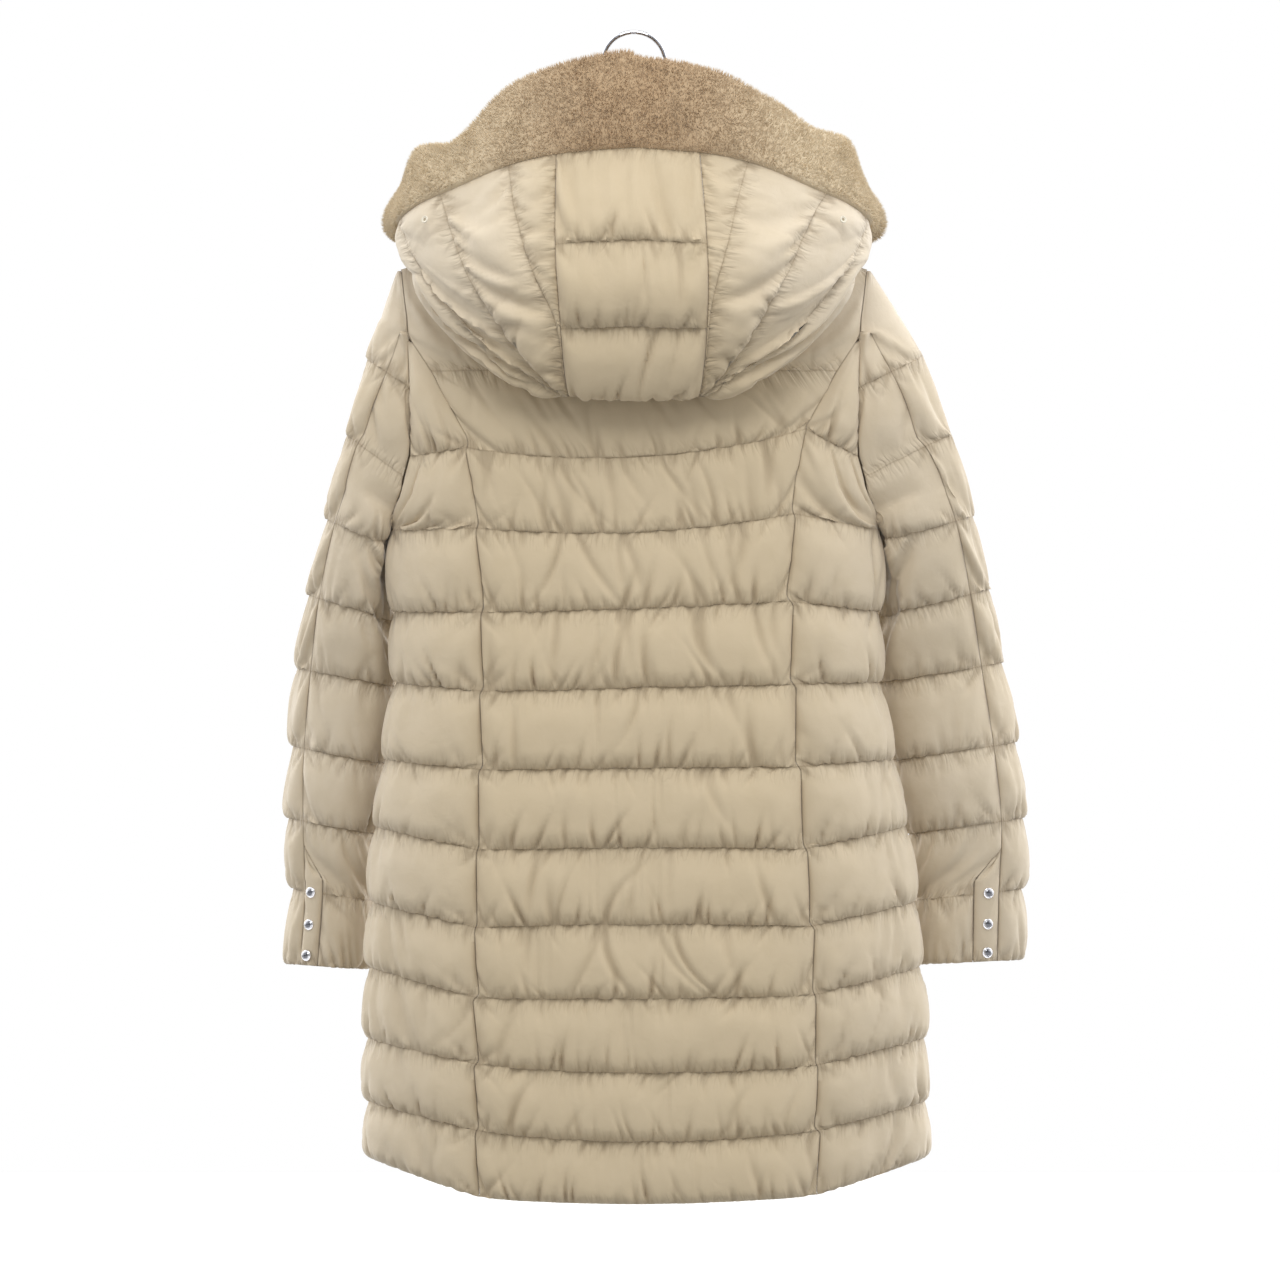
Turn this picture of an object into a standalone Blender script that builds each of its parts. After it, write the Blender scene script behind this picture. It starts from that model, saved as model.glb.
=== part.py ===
"""A long quilted down coat with a fur-trimmed hood, hung on a hanger.

Metres, +Z up. The origin is the inner crown of the hanger's hook, where a rail holds it. The
fronts face -Y, the back faces +Y, and the wearer's left is +X. A drop is a depth below the origin.
Every cloth piece is one closed wall: a plain inner face, and an outer face swollen between its
quilt lines.
"""

import math

import bmesh
import bpy
import numpy as np
from mathutils import Matrix, Vector

for leftover in list(bpy.data.objects):
    bpy.data.objects.remove(leftover)

# ---------------------------------------------------------------- driving dimensions

SEAM_GAP = 0.0003          # between neighbouring pieces
SEAM_WALL = 0.0020         # wall thickness on a seam or quilt line
BODY_LOFT = 0.0120         # wall thickness at a channel's crown, body
YOKE_LOFT = 0.0060         # round the shoulders, under the hood
SLEEVE_LOFT = 0.0090
HOOD_LOFT = 0.0090
PRESSED_LOFT = 0.0032      # hood channels that lie against the back

SECTION_POWER = 2.4        # superellipse power of the body's level sections
SHOULDER_APEX = 0.1535     # drop of the shoulder line, carried on to the middle
SHOULDER_SLOPE = 0.288
SHOULDER_ROUND = 0.110     # drop over which the body reaches its full depth
SHOULDER_HALF = 0.209      # middle to shoulder point
NECK_HALF = 0.085
NECK_BACK_DROP = 0.184
NECK_FRONT_DEEP = 0.072    # how far the front neck scoops below the shoulder
SIDE_SEAM_ANGLE = 100.0    # round the body from the centre back, degrees
PLACKET_HALF = 0.021
PLACKET_WALL = 0.0075
CUFF_PLACKET_WALL = 0.0055

HOOK_INNER_RADIUS = 0.0262
HOOK_WIRE_RADIUS = 0.0018
HANGER_BAR_RADIUS = 0.0065
HANGER_BAR_REACH = 0.186
HANGER_BAR_BELOW = 0.0015  # top of the bar below the shoulder line
HANGER_BAR_RISE = 0.006    # and its rise in the middle, under the hook
SNAP_RADIUS = 0.0050
SNAP_HEIGHT = 0.0026
BUTTON_RADIUS = 0.0035
BUTTON_HEIGHT = 0.0016
BUTTON_ROW = 2.5           # the hood side's channel that the fur's button sits on
BUTTON_ALONG = 0.20        # and how far from the opening's edge towards the fold


def table(columns, *rows):
    """One array for each named column."""
    return dict(zip(columns.split(), np.array(rows, dtype=float).T))


# Half widths and depths of the body's plain inside at each drop, with the sway of its middle.
BODY = table(
    "drop  half   back   front  sway",
    (0.15, 0.222, 0.060, 0.056, 0.0000),
    (0.40, 0.221, 0.060, 0.056, 0.0000),
    (0.45, 0.217, 0.060, 0.055, -0.0010),
    (0.52, 0.215, 0.060, 0.055, -0.0020),
    (0.58, 0.214, 0.061, 0.056, -0.0030),
    (0.64, 0.224, 0.063, 0.058, -0.0045),
    (0.71, 0.235, 0.066, 0.061, -0.0060),
    (0.78, 0.242, 0.069, 0.064, -0.0085),
    (0.91, 0.248, 0.074, 0.068, -0.0110),
    (1.06, 0.247, 0.078, 0.070, -0.0125),
)

# The armhole's edge: angle round the body from the centre back, at drops of the panels' rows.
ARMHOLE = table(
    "drop    back   front",
    (0.2137, 68.4, 111.6),
    (0.2580, 64.0, 116.5),
    (0.3020, 62.0, 119.5),
    (0.3800, 62.4, 119.0),
    (0.4130, 68.5, 114.0),
    (0.4368, 83.0, 107.0),
    (0.4460, 100.0, 100.0),
)

# The princess seam: its distance from the middle at each drop.
PRINCESS = table(
    "drop   half",
    (0.277, 0.1990),
    (0.307, 0.1795),
    (0.334, 0.1650),
    (0.362, 0.1510),
    (0.400, 0.1450),
    (0.440, 0.1415),
    (0.500, 0.1375),
    (0.580, 0.1390),
    (0.660, 0.1420),
    (0.790, 0.1500),
    (0.920, 0.1520),
    (1.060, 0.1520),
)

# Quilt lines across the back panel, from the yoke to the hem: drops at its left edge, middle, right.
BACK_LINES = table(
    "left    middle  right",
    (0.3040, 0.3020, 0.3040),
    (0.3726, 0.3807, 0.3560),
    (0.4446, 0.4482, 0.4320),
    (0.5202, 0.5166, 0.5103),
    (0.5913, 0.5877, 0.5850),
    (0.6615, 0.6597, 0.6588),
    (0.7335, 0.7308, 0.7326),
    (0.8028, 0.7992, 0.8019),
    (0.8658, 0.8658, 0.8631),
    (0.9252, 0.9324, 0.9261),
    (0.9846, 0.9936, 0.9846),
    (1.0440, 1.0490, 1.0420),
)

# Drops of a back side panel's outer edge in the back's rows: its top, then its quilt lines.
SIDE_EDGE = table(
    "row    drop",
    (0.74, 0.2830),
    (1.00, 0.3040),
    (2.00, 0.3800),
    (3.00, 0.4460),
    (4.00, 0.5193),
    (5.00, 0.5832),
    (6.00, 0.6525),
    (7.00, 0.7128),
    (8.00, 0.7803),
    (9.00, 0.8388),
    (10.0, 0.9027),
    (11.0, 0.9594),
    (12.0, 1.0098),
)

# Quilt lines across a front, below its top edge: drops at the side and at the placket.
FRONT_LINES = table(
    "side    centre",
    (0.3020, 0.3250),
    (0.3800, 0.3860),
    (0.4460, 0.4500),
    (0.5193, 0.5150),
    (0.5832, 0.5800),
    (0.6525, 0.6500),
    (0.7128, 0.7120),
    (0.7803, 0.7780),
    (0.8388, 0.8380),
    (0.9027, 0.9000),
    (0.9594, 0.9560),
    (1.0098, 1.0040),
)

# Rings of each sleeve at its quilt lines, shoulder to cuff: the outermost point and its drop, the
# ring's width, how far it falls towards the body, its middle's y, its half depth, and the angle of
# the back seam from the outermost point. Above the underarm only part of a ring is there.
SLEEVES = {
    "left": table(
        "out    drop   width  fall   middle  deep   seam",
        (0.2125, 0.2155, 0.006, 0.002, 0.000, 0.006, 90.0),
        (0.238, 0.293, 0.076, 0.046, 0.000, 0.031, 56.0),
        (0.256, 0.361, 0.100, 0.070, 0.000, 0.031, 40.0),
        (0.274, 0.437, 0.056, 0.026, -0.014, 0.034, 41.0),
        (0.291, 0.505, 0.070, 0.022, -0.040, 0.046, 41.0),
        (0.302, 0.571, 0.086, 0.016, -0.062, 0.050, 44.0),
        (0.306, 0.641, 0.080, 0.016, -0.067, 0.051, 42.0),
        (0.310, 0.706, 0.073, 0.014, -0.068, 0.048, 50.0),
        (0.306, 0.770, 0.064, 0.010, -0.069, 0.043, 48.0),
        (0.311, 0.838, 0.064, 0.004, -0.070, 0.041, 48.0),
    ),
    "right": table(
        "out    drop   width  fall   middle  deep   seam",
        (0.2125, 0.2155, 0.006, 0.002, 0.000, 0.006, 90.0),
        (0.258, 0.290, 0.110, 0.048, 0.000, 0.031, 58.0),
        (0.284, 0.361, 0.130, 0.066, 0.000, 0.031, 47.0),
        (0.303, 0.434, 0.083, 0.024, -0.014, 0.034, 50.0),
        (0.318, 0.500, 0.098, 0.024, -0.040, 0.042, 48.0),
        (0.330, 0.566, 0.104, 0.018, -0.058, 0.044, 48.0),
        (0.342, 0.638, 0.106, 0.016, -0.058, 0.044, 50.0),
        (0.349, 0.706, 0.098, 0.014, -0.060, 0.042, 52.0),
        (0.348, 0.770, 0.088, 0.010, -0.062, 0.039, 54.0),
        (0.346, 0.834, 0.086, 0.004, -0.064, 0.037, 54.0),
    ),
}
SLEEVE_ROWS = 9
SLEEVE_FRONT_SEAM = 240.0   # angle of the front seam, round past the underside
UNDER_TOP_ROW = 0.5         # where the back seam meets the armhole
UNDER_FRONT_ROW = 2.5       # where the front seam meets it
UNDER_ARM_ROW = 1.86        # below this the armhole's rim turns under the arm
UNDER_ARM_SHARE = 0.32      # share of the under sleeve's columns beside the armhole
UNDER_EVEN_ROW = 3.5        # from here on the under sleeve's columns are even
SLEEVE_CLEAR = 0.0145       # sleeve's outer face off the body's inside, where the arm lies on it
CLEAR_FROM = 0.395          # drops over which that clearance comes in
CLEAR_FULL = 0.430
CUFF_PLACKET_ANGLE = 29.0
CUFF_PLACKET_TOP = 7.35     # sleeve rows where the cuff placket starts and is full width
CUFF_PLACKET_FULL = 7.80

# Where the sleeve's rings leave the armhole: the ring's angle, the armhole's drop, and the
# degrees round the body from its edge to the sleeve's, at each row.
SLEEVE_ARMHOLE = table(
    "row   angle  drop    step",
    (0.00, 90.0, 0.2150, 0.5),
    (0.14, 90.0, 0.2330, 0.5),
    (1.00, 90.0, 0.3190, 0.6),
    (1.86, 90.0, 0.3880, 2.0),
    (2.14, 102.0, 0.4080, 2.4),
    (2.50, 120.0, 0.4280, 3.2),
    (2.86, 180.0, 0.4410, 3.2),
)

# The hood's bag in sections from the middle of its back (0) round to the throat (9): points on the
# opening's edge, at the fold and on the neck seam, and how far the outside swells between.
HOOD = table(
    "face_x face_y face_d  fold_x fold_y fold_d  neck_x  swell_x swell_y swell_d",
    (0.000, 0.112, 0.1060, 0.000, 0.094, 0.3250, 0.0000, 0.000, 0.036, 0.000),
    (0.066, 0.109, 0.1115, 0.058, 0.093, 0.3250, 0.0240, 0.006, 0.036, 0.000),
    (0.112, 0.101, 0.1220, 0.076, 0.091, 0.3200, 0.0380, 0.014, 0.034, 0.000),
    (0.160, 0.088, 0.1420, 0.102, 0.088, 0.3060, 0.0520, 0.016, 0.028, 0.000),
    (0.192, 0.072, 0.1560, 0.146, 0.077, 0.2720, 0.0660, 0.010, 0.020, 0.000),
    (0.209, 0.042, 0.1700, 0.182, 0.054, 0.2200, 0.0780, 0.004, 0.010, 0.000),
    (0.196, -0.006, 0.1740, 0.150, -0.002, 0.1800, 0.0850, 0.000, 0.000, 0.004),
    (0.148, -0.070, 0.1860, 0.112, -0.068, 0.2020, 0.0740, 0.000, -0.004, 0.004),
    (0.080, -0.100, 0.2040, 0.060, -0.092, 0.2240, 0.0440, 0.000, -0.004, 0.004),
    (0.004, -0.106, 0.2120, 0.004, -0.094, 0.2300, 0.0040, 0.000, -0.004, 0.004),
)
HOOD_SEAM = 1.0
NECK_SECTION = 6.0          # where the shoulder seam meets the neck
HOOD_THROAT = 9.0
HOOD_CLEAR = 0.0168         # hood's inside face off the body's inside face, where it lies on it
NECK_FADE = (0.09, 0.40)    # run over which that clearance goes at the neck, back and front
NECK_RISE = 0.0048          # hood's neck edge above the body's
NECK_OUT = 0.0008

# The fur trim along the same sections: its height, the way it leans, and its thickness.
FUR = table(
    "height lean_x lean_y thick",
    (0.088, 0.00, -0.30, 0.026),
    (0.088, 0.03, -0.34, 0.026),
    (0.086, 0.10, -0.58, 0.026),
    (0.084, 0.18, -0.85, 0.026),
    (0.082, 0.30, -1.00, 0.026),
    (0.080, 0.42, -1.05, 0.026),
    (0.078, 0.42, -1.05, 0.026),
    (0.078, 0.30, -1.05, 0.026),
    (0.077, 0.14, -1.00, 0.026),
    (0.076, 0.03, -0.95, 0.024),
)

FUR_ROOT = 0.0030           # the fur's root beyond the hood's edge

HOOD_CROSS = np.array([0.0, 0.36, 0.73, 1.03, 1.35, 1.68, 2.0])   # the centre panel's quilt lines
HOOD_SECTIONS = np.array([1.0, 2.0, 3.0, 4.3, 6.0, 7.5, 9.0])     # the side panels' quilt lines
HOOD_STATIONS = np.array([0.0, 0.07, 0.29, 0.36, 0.43, 0.66, 0.73, 0.79, 0.97, 1.03, 1.19, 1.35,
                          1.515, 1.68, 1.84, 1.93, 2.0])          # points along both

ARMHOLE_ROWS = 3            # the channels beside the armhole
CHANNEL_STEPS = (0.0, 0.14, 0.5, 0.86)      # rows of points between two quilt lines
NARROW = (0.0, 0.07, 0.24, 0.5, 0.76, 0.93, 1.0)
WIDE = (0.0, 0.03, 0.12, 0.34, 0.66, 0.88, 0.97, 1.0)
ACROSS_UNDER = (0.0, 0.04, 0.16, 0.32, 0.45, 0.57, 0.69, 0.81, 0.92, 1.0)
ACROSS_BACK = (0.0, 0.03, 0.12, 0.2967, 0.5, 0.7033, 0.88, 0.97, 1.0)
ACROSS_FRONT = (0.0, 0.03, 0.12, 0.34, 0.6606, 0.76, 0.86, 0.95, 1.0)

SHELL_COLOUR = (0.56, 0.48, 0.36, 1.0)
FUR_COLOUR = (0.50, 0.40, 0.27, 1.0)
SNAP_COLOUR = (0.72, 0.72, 0.74, 1.0)
BUTTON_COLOUR = (0.80, 0.76, 0.66, 1.0)
STEEL_COLOUR = (0.60, 0.60, 0.60, 1.0)
HANGER_COLOUR = (0.08, 0.08, 0.08, 1.0)


# ---------------------------------------------------------------- small tools

def rows_to_points(first, second, third):
    return np.stack(np.broadcast_arrays(first, second, third), axis=-1)


def through(values, at):
    """A smooth curve through evenly spaced values, read at fractional rows."""
    values = np.asarray(values, dtype=float)
    last = len(values) - 1
    at = np.clip(at, 0.0, last)
    low = np.clip(np.floor(at).astype(int), 0, last - 1)
    part = at - low
    before = values[np.clip(low - 1, 0, last)]
    start = values[low]
    end = values[low + 1]
    after = values[np.clip(low + 2, 0, last)]
    leave = (end - before) / 2
    arrive = (after - start) / 2
    return (start * (2 * part**3 - 3 * part**2 + 1) + leave * (part**3 - 2 * part**2 + part)
            + end * (3 * part**2 - 2 * part**3) + arrive * (part**3 - part**2))


def unit(vectors):
    return vectors / np.maximum(np.linalg.norm(vectors, axis=-1, keepdims=True), 1e-9)


def normals(form, first, second, steps, hand=1):
    """Outward normals of a form, from small steps either way of its two coordinates."""
    one = form(first + steps[0], second) - form(first - steps[0], second)
    two = form(first, second + steps[1]) - form(first, second - steps[1])
    return hand * unit(np.cross(one, two))


def channel_rows(count, steps=CHANNEL_STEPS):
    """Fractional rows for the outer face: every quilt line and the steps between."""
    rows = [line + step for line in range(count) for step in steps]
    return np.array(rows + [count], dtype=float)


def kept_rows(rows, low=99.0):
    """Row numbers of the inner face: the quilt lines, and every row beside the armhole and, from
    the low row on, beside a cuff's placket."""
    return [number for number, row in enumerate(rows)
            if row < ARMHOLE_ROWS + 0.6 or row > low or float(row).is_integer()]


def loft(across, along, crown, margin=0.2):
    """Wall thickness: thin on quilt lines and panel edges, full in the middle of a channel."""
    channel = np.abs(np.sin(np.pi * along)) ** 0.6
    inside = np.clip(np.minimum(across, 1 - across) / margin, 0.0, 1.0)
    edge = np.sin(np.pi / 2 * inside) ** 0.7
    return SEAM_WALL + (crown - SEAM_WALL) * channel * edge


# ---------------------------------------------------------------- the body's form

def shoulder_drop(x):
    return SHOULDER_APEX + SHOULDER_SLOPE * np.abs(x)


def body_point(angle, drop):
    """A point of the body's inside face. The angle runs round from the centre back, plus to the
    left and minus to the right, and a level section is a superellipse that closes at the shoulder."""
    half = np.interp(drop, BODY["drop"], BODY["half"])
    sine = np.sin(np.radians(angle))
    cosine = np.cos(np.radians(angle))
    back = cosine >= 0
    deep = np.where(back, np.interp(drop, BODY["drop"], BODY["back"]),
                    np.interp(drop, BODY["drop"], BODY["front"]))
    x = half * np.sign(sine) * np.abs(sine) ** (2 / SECTION_POWER)
    below = np.clip((drop - shoulder_drop(x)) / SHOULDER_ROUND, 0.0, 1.0)
    rounded = np.sqrt(1 - (1 - below) ** 2)
    y = deep * np.abs(cosine) ** (2 / SECTION_POWER) * rounded + SEAM_GAP / 2
    sway = np.interp(drop, BODY["drop"], BODY["sway"])
    return rows_to_points(x + sway, np.where(back, y, -y), -drop)


def angle_at(x, drop):
    """The angle of a point of the back at a distance from the middle."""
    half = np.interp(drop, BODY["drop"], BODY["half"])
    share = np.clip(np.abs(x) / half, 0.0, 1.0) ** (SECTION_POWER / 2)
    return np.sign(x) * np.degrees(np.arcsin(share))


def princess(drop):
    return np.interp(drop, PRINCESS["drop"], PRINCESS["half"])


def back_top(x):
    """The back's top edge: the neck in the middle, and the shoulder seams."""
    neck = NECK_BACK_DROP - (NECK_BACK_DROP - shoulder_drop(NECK_HALF)) * (x / NECK_HALF) ** 4
    return np.where(np.abs(x) < NECK_HALF, neck, shoulder_drop(x)) + SEAM_GAP


def front_top(x):
    scoop = np.clip(1 - (x / NECK_HALF) ** 2, 0.0, 1.0)
    neck = shoulder_drop(NECK_HALF) + NECK_FRONT_DEEP * scoop
    return np.where(np.abs(x) < NECK_HALF, neck, shoulder_drop(x)) + SEAM_GAP


def inset(across, width):
    """Across a panel, with half a seam gap left at each edge."""
    share = SEAM_GAP / 2 / width
    return share + (1 - 2 * share) * across


def row_ends(side, row):
    """Drop and distance from the middle of the back panel's edge, on one side, in each row."""
    drop = through(np.append(0.20, BACK_LINES[side]), row)
    top = back_top(SHOULDER_HALF)
    drop = np.where(row < 1.0, top + (BACK_LINES[side][0] - top) * row, drop)
    armhole = np.interp(drop, ARMHOLE["drop"], ARMHOLE["back"])
    armhole_x = body_point(armhole, drop)[..., 0]
    edge = np.where(drop < PRINCESS["drop"][0], armhole_x, np.minimum(princess(drop), armhole_x))
    return drop, np.where(row < 0.001, SHOULDER_HALF, edge)


def back_place(across, row):
    """The back centre panel: between the armholes above, and the princess seams below."""
    left_drop, left_x = row_ends("left", row)
    right_drop, right_x = row_ends("right", row)
    side = 1 - 2 * inset(across, left_x + right_x)
    x = (left_x + right_x) / 2 * side + (left_x - right_x) / 2
    middle = through(np.append(0.20, BACK_LINES["middle"]), np.maximum(row, 1.0))
    first = np.clip(row, 0.0, 1.0)
    left_drop = np.where(row < 1.0, BACK_LINES["left"][0], left_drop)
    right_drop = np.where(row < 1.0, BACK_LINES["right"][0], right_drop)
    bend = middle - (left_drop + right_drop) / 2
    drop = middle + (left_drop - right_drop) / 2 * side - bend * side**2
    drop = back_top(SHOULDER_HALF * side) * (1 - first) + drop * first
    return angle_at(x, drop), drop


def side_place(side):
    """A back side panel: from the princess seam to the armhole, then to the side seam."""
    sign = 1 if side == "left" else -1

    def place(across, row):
        seam_drop, seam_x = row_ends(side, row)
        edge_drop = np.interp(row, SIDE_EDGE["row"], SIDE_EDGE["drop"])
        start = angle_at(seam_x, seam_drop)
        armhole = np.interp(edge_drop, ARMHOLE["drop"], ARMHOLE["back"])
        end = np.where(edge_drop < ARMHOLE["drop"][-1], armhole, SIDE_SEAM_ANGLE)
        end = np.maximum(end, start + 1.5)
        angle = start + (end - start) * inset(across, 0.12)
        reach = np.abs(np.sin(np.radians(np.minimum(angle, 90.0))))
        low = np.abs(np.sin(np.radians(start)))
        high = np.abs(np.sin(np.radians(np.minimum(end, 90.0))))
        share = np.clip((reach - low) / np.maximum(high - low, 1e-6), 0.0, 1.0)
        drop = seam_drop + (edge_drop - seam_drop) * share
        return sign * angle, drop
    return place


def side_loft(across, row):
    """The side panel's top runs on past the yoke line in one channel."""
    top = SIDE_EDGE["row"][0]
    run = np.where(row < 2.0, 1 + (row - top) / (2.0 - top), row)
    return loft(across, run, BODY_LOFT, 0.24)


def front_place(sign):
    """A front: from the armhole or side seam to the placket."""
    def place(across, row):
        lines = np.arange(1.0, len(FRONT_LINES["side"]) + 1)
        side_drop = np.interp(row, lines, FRONT_LINES["side"])
        centre_drop = np.interp(row, lines, FRONT_LINES["centre"])
        top = front_top(SHOULDER_HALF)
        edge_drop = np.where(row < 1.0, top + (FRONT_LINES["side"][0] - top) * row, side_drop)
        armhole = np.interp(edge_drop, ARMHOLE["drop"], ARMHOLE["front"])
        start = np.where(edge_drop < ARMHOLE["drop"][-1], armhole, SIDE_SEAM_ANGLE)
        share = inset(across, 0.20)
        half = np.interp(edge_drop, BODY["drop"], BODY["half"])
        end = 180 - np.abs(angle_at(PLACKET_HALF + SEAM_GAP, edge_drop))
        edge_x = half * np.sin(np.radians(start)) ** (2 / SECTION_POWER)
        edge_x = np.where(row < 0.001, SHOULDER_HALF, edge_x)
        x = edge_x + (PLACKET_HALF + SEAM_GAP - edge_x) * share
        first_x = SHOULDER_HALF + (PLACKET_HALF + SEAM_GAP - SHOULDER_HALF) * share
        down = np.clip(row, 0.0, 1.0)
        drop = side_drop + (centre_drop - side_drop) * share
        drop = front_top(first_x) * (1 - down) + drop * down
        above = edge_drop < ARMHOLE["drop"][-1]
        angle = np.where(above, 180 - np.abs(angle_at(x, drop)), start + (end - start) * share)
        return sign * angle, drop
    return place


def placket_place(across, row):
    """The front placket, from the wearer's right to the left."""
    x = 2 * PLACKET_HALF * across - PLACKET_HALF
    top = front_top(np.zeros_like(x))
    drop = top + (FRONT_LINES["centre"][-1] - top) * row / len(FRONT_LINES["centre"])
    half = np.interp(drop, BODY["drop"], BODY["half"])
    turn = np.degrees(np.arcsin((np.abs(x) / half) ** (SECTION_POWER / 2)))
    return 180 - np.sign(x) * turn, drop


# ---------------------------------------------------------------- the sleeves' form

def sleeve_ring(side, angle, row):
    """A point on a sleeve ring: an ellipse that falls towards the body. Angle 0 is outermost,
    90 is the back and 180 is the underside."""
    ring = {name: through(column, row) for name, column in SLEEVES[side].items()}
    turn = np.radians(angle)
    radius = ring["width"] / 2
    x = ring["out"] - radius + radius * np.cos(turn)
    y = ring["middle"] + ring["deep"] * np.sin(turn)
    drop = ring["drop"] + ring["fall"] / 2 * (1 - np.cos(turn))
    return x, y, drop


def armhole_point(drop, step, front):
    """Inside the body's armhole edge at a drop, as x and y of the wearer's left."""
    back_edge = np.interp(drop, ARMHOLE["drop"], ARMHOLE["back"])
    front_edge = np.interp(drop, ARMHOLE["drop"], ARMHOLE["front"])
    step = np.minimum(step, (front_edge - back_edge) / 2)
    spot = body_point(np.where(front, front_edge - step, back_edge + step), drop)
    return spot[..., 0], spot[..., 1]


def armhole_pull(angle, row):
    """How strongly the armhole draws a sleeve point, and the rim's angle on its side."""
    rim = np.interp(row, SLEEVE_ARMHOLE["row"], SLEEVE_ARMHOLE["angle"])
    turned = np.mod(angle, 360.0)
    front = turned > 180
    rim_angle = np.where(front, 360 - rim, rim)
    near = np.where(front, turned - rim_angle, rim_angle - turned)
    return np.maximum(1 - near / 90.0, 0.0) * np.clip((3.3 - row) / 0.44, 0.0, 1.0), rim_angle


def beside_body(x, y, drop, gap, sign):
    """Level with the body, a point is moved out until it is the gap off the body's inside face."""
    sway = sign * np.interp(drop, BODY["drop"], BODY["sway"])
    wide = np.interp(drop, BODY["drop"], BODY["half"]) + gap
    back = np.interp(drop, BODY["drop"], BODY["back"]) + gap
    front = np.interp(drop, BODY["drop"], BODY["front"]) + gap
    deep = np.where(y > 0, back, front)
    near = (np.abs(x - sway) / wide) ** SECTION_POWER + (np.abs(y) / deep) ** SECTION_POWER
    scale = np.clip(near, 0.05, 1.0) ** (-1 / SECTION_POWER)
    return sway + (x - sway) * scale, y * scale


def sleeve_crown(angle, row):
    """A sleeve channel's fullest wall, pressed flat under the arm."""
    pull = armhole_pull(angle, row)[0]
    flat = np.clip((pull - 0.25) / 0.35, 0.0, 1.0) * np.clip((row - 1.5) / 0.4, 0.0, 1.0)
    return SLEEVE_LOFT + (PRESSED_LOFT - SLEEVE_LOFT) * flat


def sleeve_form(side):
    """A sleeve's inside face, with its rings drawn in to the armhole near the body."""
    sign = 1 if side == "left" else -1

    def form(angle, row):
        x, y, drop = sleeve_ring(side, angle, row)
        pull, rim_angle = armhole_pull(angle, row)
        rim_x, rim_y, rim_drop = sleeve_ring(side, rim_angle, row)
        arm_drop = np.interp(row, SLEEVE_ARMHOLE["row"], SLEEVE_ARMHOLE["drop"])
        step = np.interp(row, SLEEVE_ARMHOLE["row"], SLEEVE_ARMHOLE["step"])
        arm_x, arm_y = armhole_point(arm_drop, step, rim_angle > 180)
        x = x + (arm_x - rim_x) * pull
        y = y + (arm_y - rim_y) * pull
        drop = drop + (arm_drop - rim_drop) * pull
        below = np.clip((drop - CLEAR_FROM) / (CLEAR_FULL - CLEAR_FROM), 0.0, 1.0)
        away = np.minimum((1 - pull) / 0.3, 1.0)
        gap = (SLEEVE_CLEAR + sleeve_crown(angle, row)) * below * away
        clear_x, clear_y = beside_body(x, y, drop, gap, sign)
        share = np.clip(below * 3, 0.0, 1.0)
        return rows_to_points(sign * (x + (clear_x - x) * share), y + (clear_y - y) * share, -drop)
    return form


def sleeve_lean(side):
    """On the armhole the sleeve's edge stands the way the body's wall does."""
    sign = 1 if side == "left" else -1

    def lean(angle, row):
        pull, rim_angle = armhole_pull(angle, row)
        drop = np.interp(row, SLEEVE_ARMHOLE["row"], SLEEVE_ARMHOLE["drop"])
        back_edge = np.interp(drop, ARMHOLE["drop"], ARMHOLE["back"])
        front_edge = np.interp(drop, ARMHOLE["drop"], ARMHOLE["front"])
        edge = np.where(rim_angle > 180, front_edge, back_edge)
        across_body = normals(body_point, sign * edge, drop, BODY_STEPS)
        share = np.maximum(np.clip((pull - 0.9) / 0.1, 0.0, 1.0), row < 0.01)
        return across_body, (share * np.clip((2.1 - row) / 0.3, 0.0, 1.0))[..., None]
    return lean


def sleeve_wall(place):
    """A sleeve's wall thickness: its channels, and thin on the armhole."""
    def thickness(across, along):
        angle, row = place(across, along)
        pull = armhole_pull(angle, row)[0]
        full = loft(across, row, sleeve_crown(angle, row), 0.14)
        edge = np.interp(row, (1.2, 1.9), (0.16, 0.45))
        share = np.sin(np.pi / 2 * np.clip((1 - pull) / edge, 0.0, 1.0)) ** 0.7
        return SEAM_WALL + (full - SEAM_WALL) * share
    return thickness


def upper_place(side):
    """The upper sleeve, from the back seam over the top to the front seam."""
    seam = back_seam(side)

    def place(across, row):
        start = seam(row)
        return start + (front_seam(row) - start) * inset(across, 0.15), row
    return place


def back_seam(side):
    def angle(row):
        seam = through(SLEEVES[side]["seam"], row)
        rim = np.interp(row, SLEEVE_ARMHOLE["row"], SLEEVE_ARMHOLE["angle"])
        return np.where(row < UNDER_TOP_ROW + 0.01, rim, np.minimum(seam, rim))
    return angle


def front_seam(row):
    rim = np.interp(row, SLEEVE_ARMHOLE["row"], SLEEVE_ARMHOLE["angle"])
    return -np.minimum(rim, 360 - SLEEVE_FRONT_SEAM)


def under_edge(side):
    """The under sleeve's back edge: the seam, then the cuff placket's edge."""
    seam = back_seam(side)

    def angle(row):
        opened = np.clip((row - CUFF_PLACKET_TOP) / (CUFF_PLACKET_FULL - CUFF_PLACKET_TOP), 0, 1)
        return seam(row) + CUFF_PLACKET_ANGLE * opened
    return angle


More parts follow.
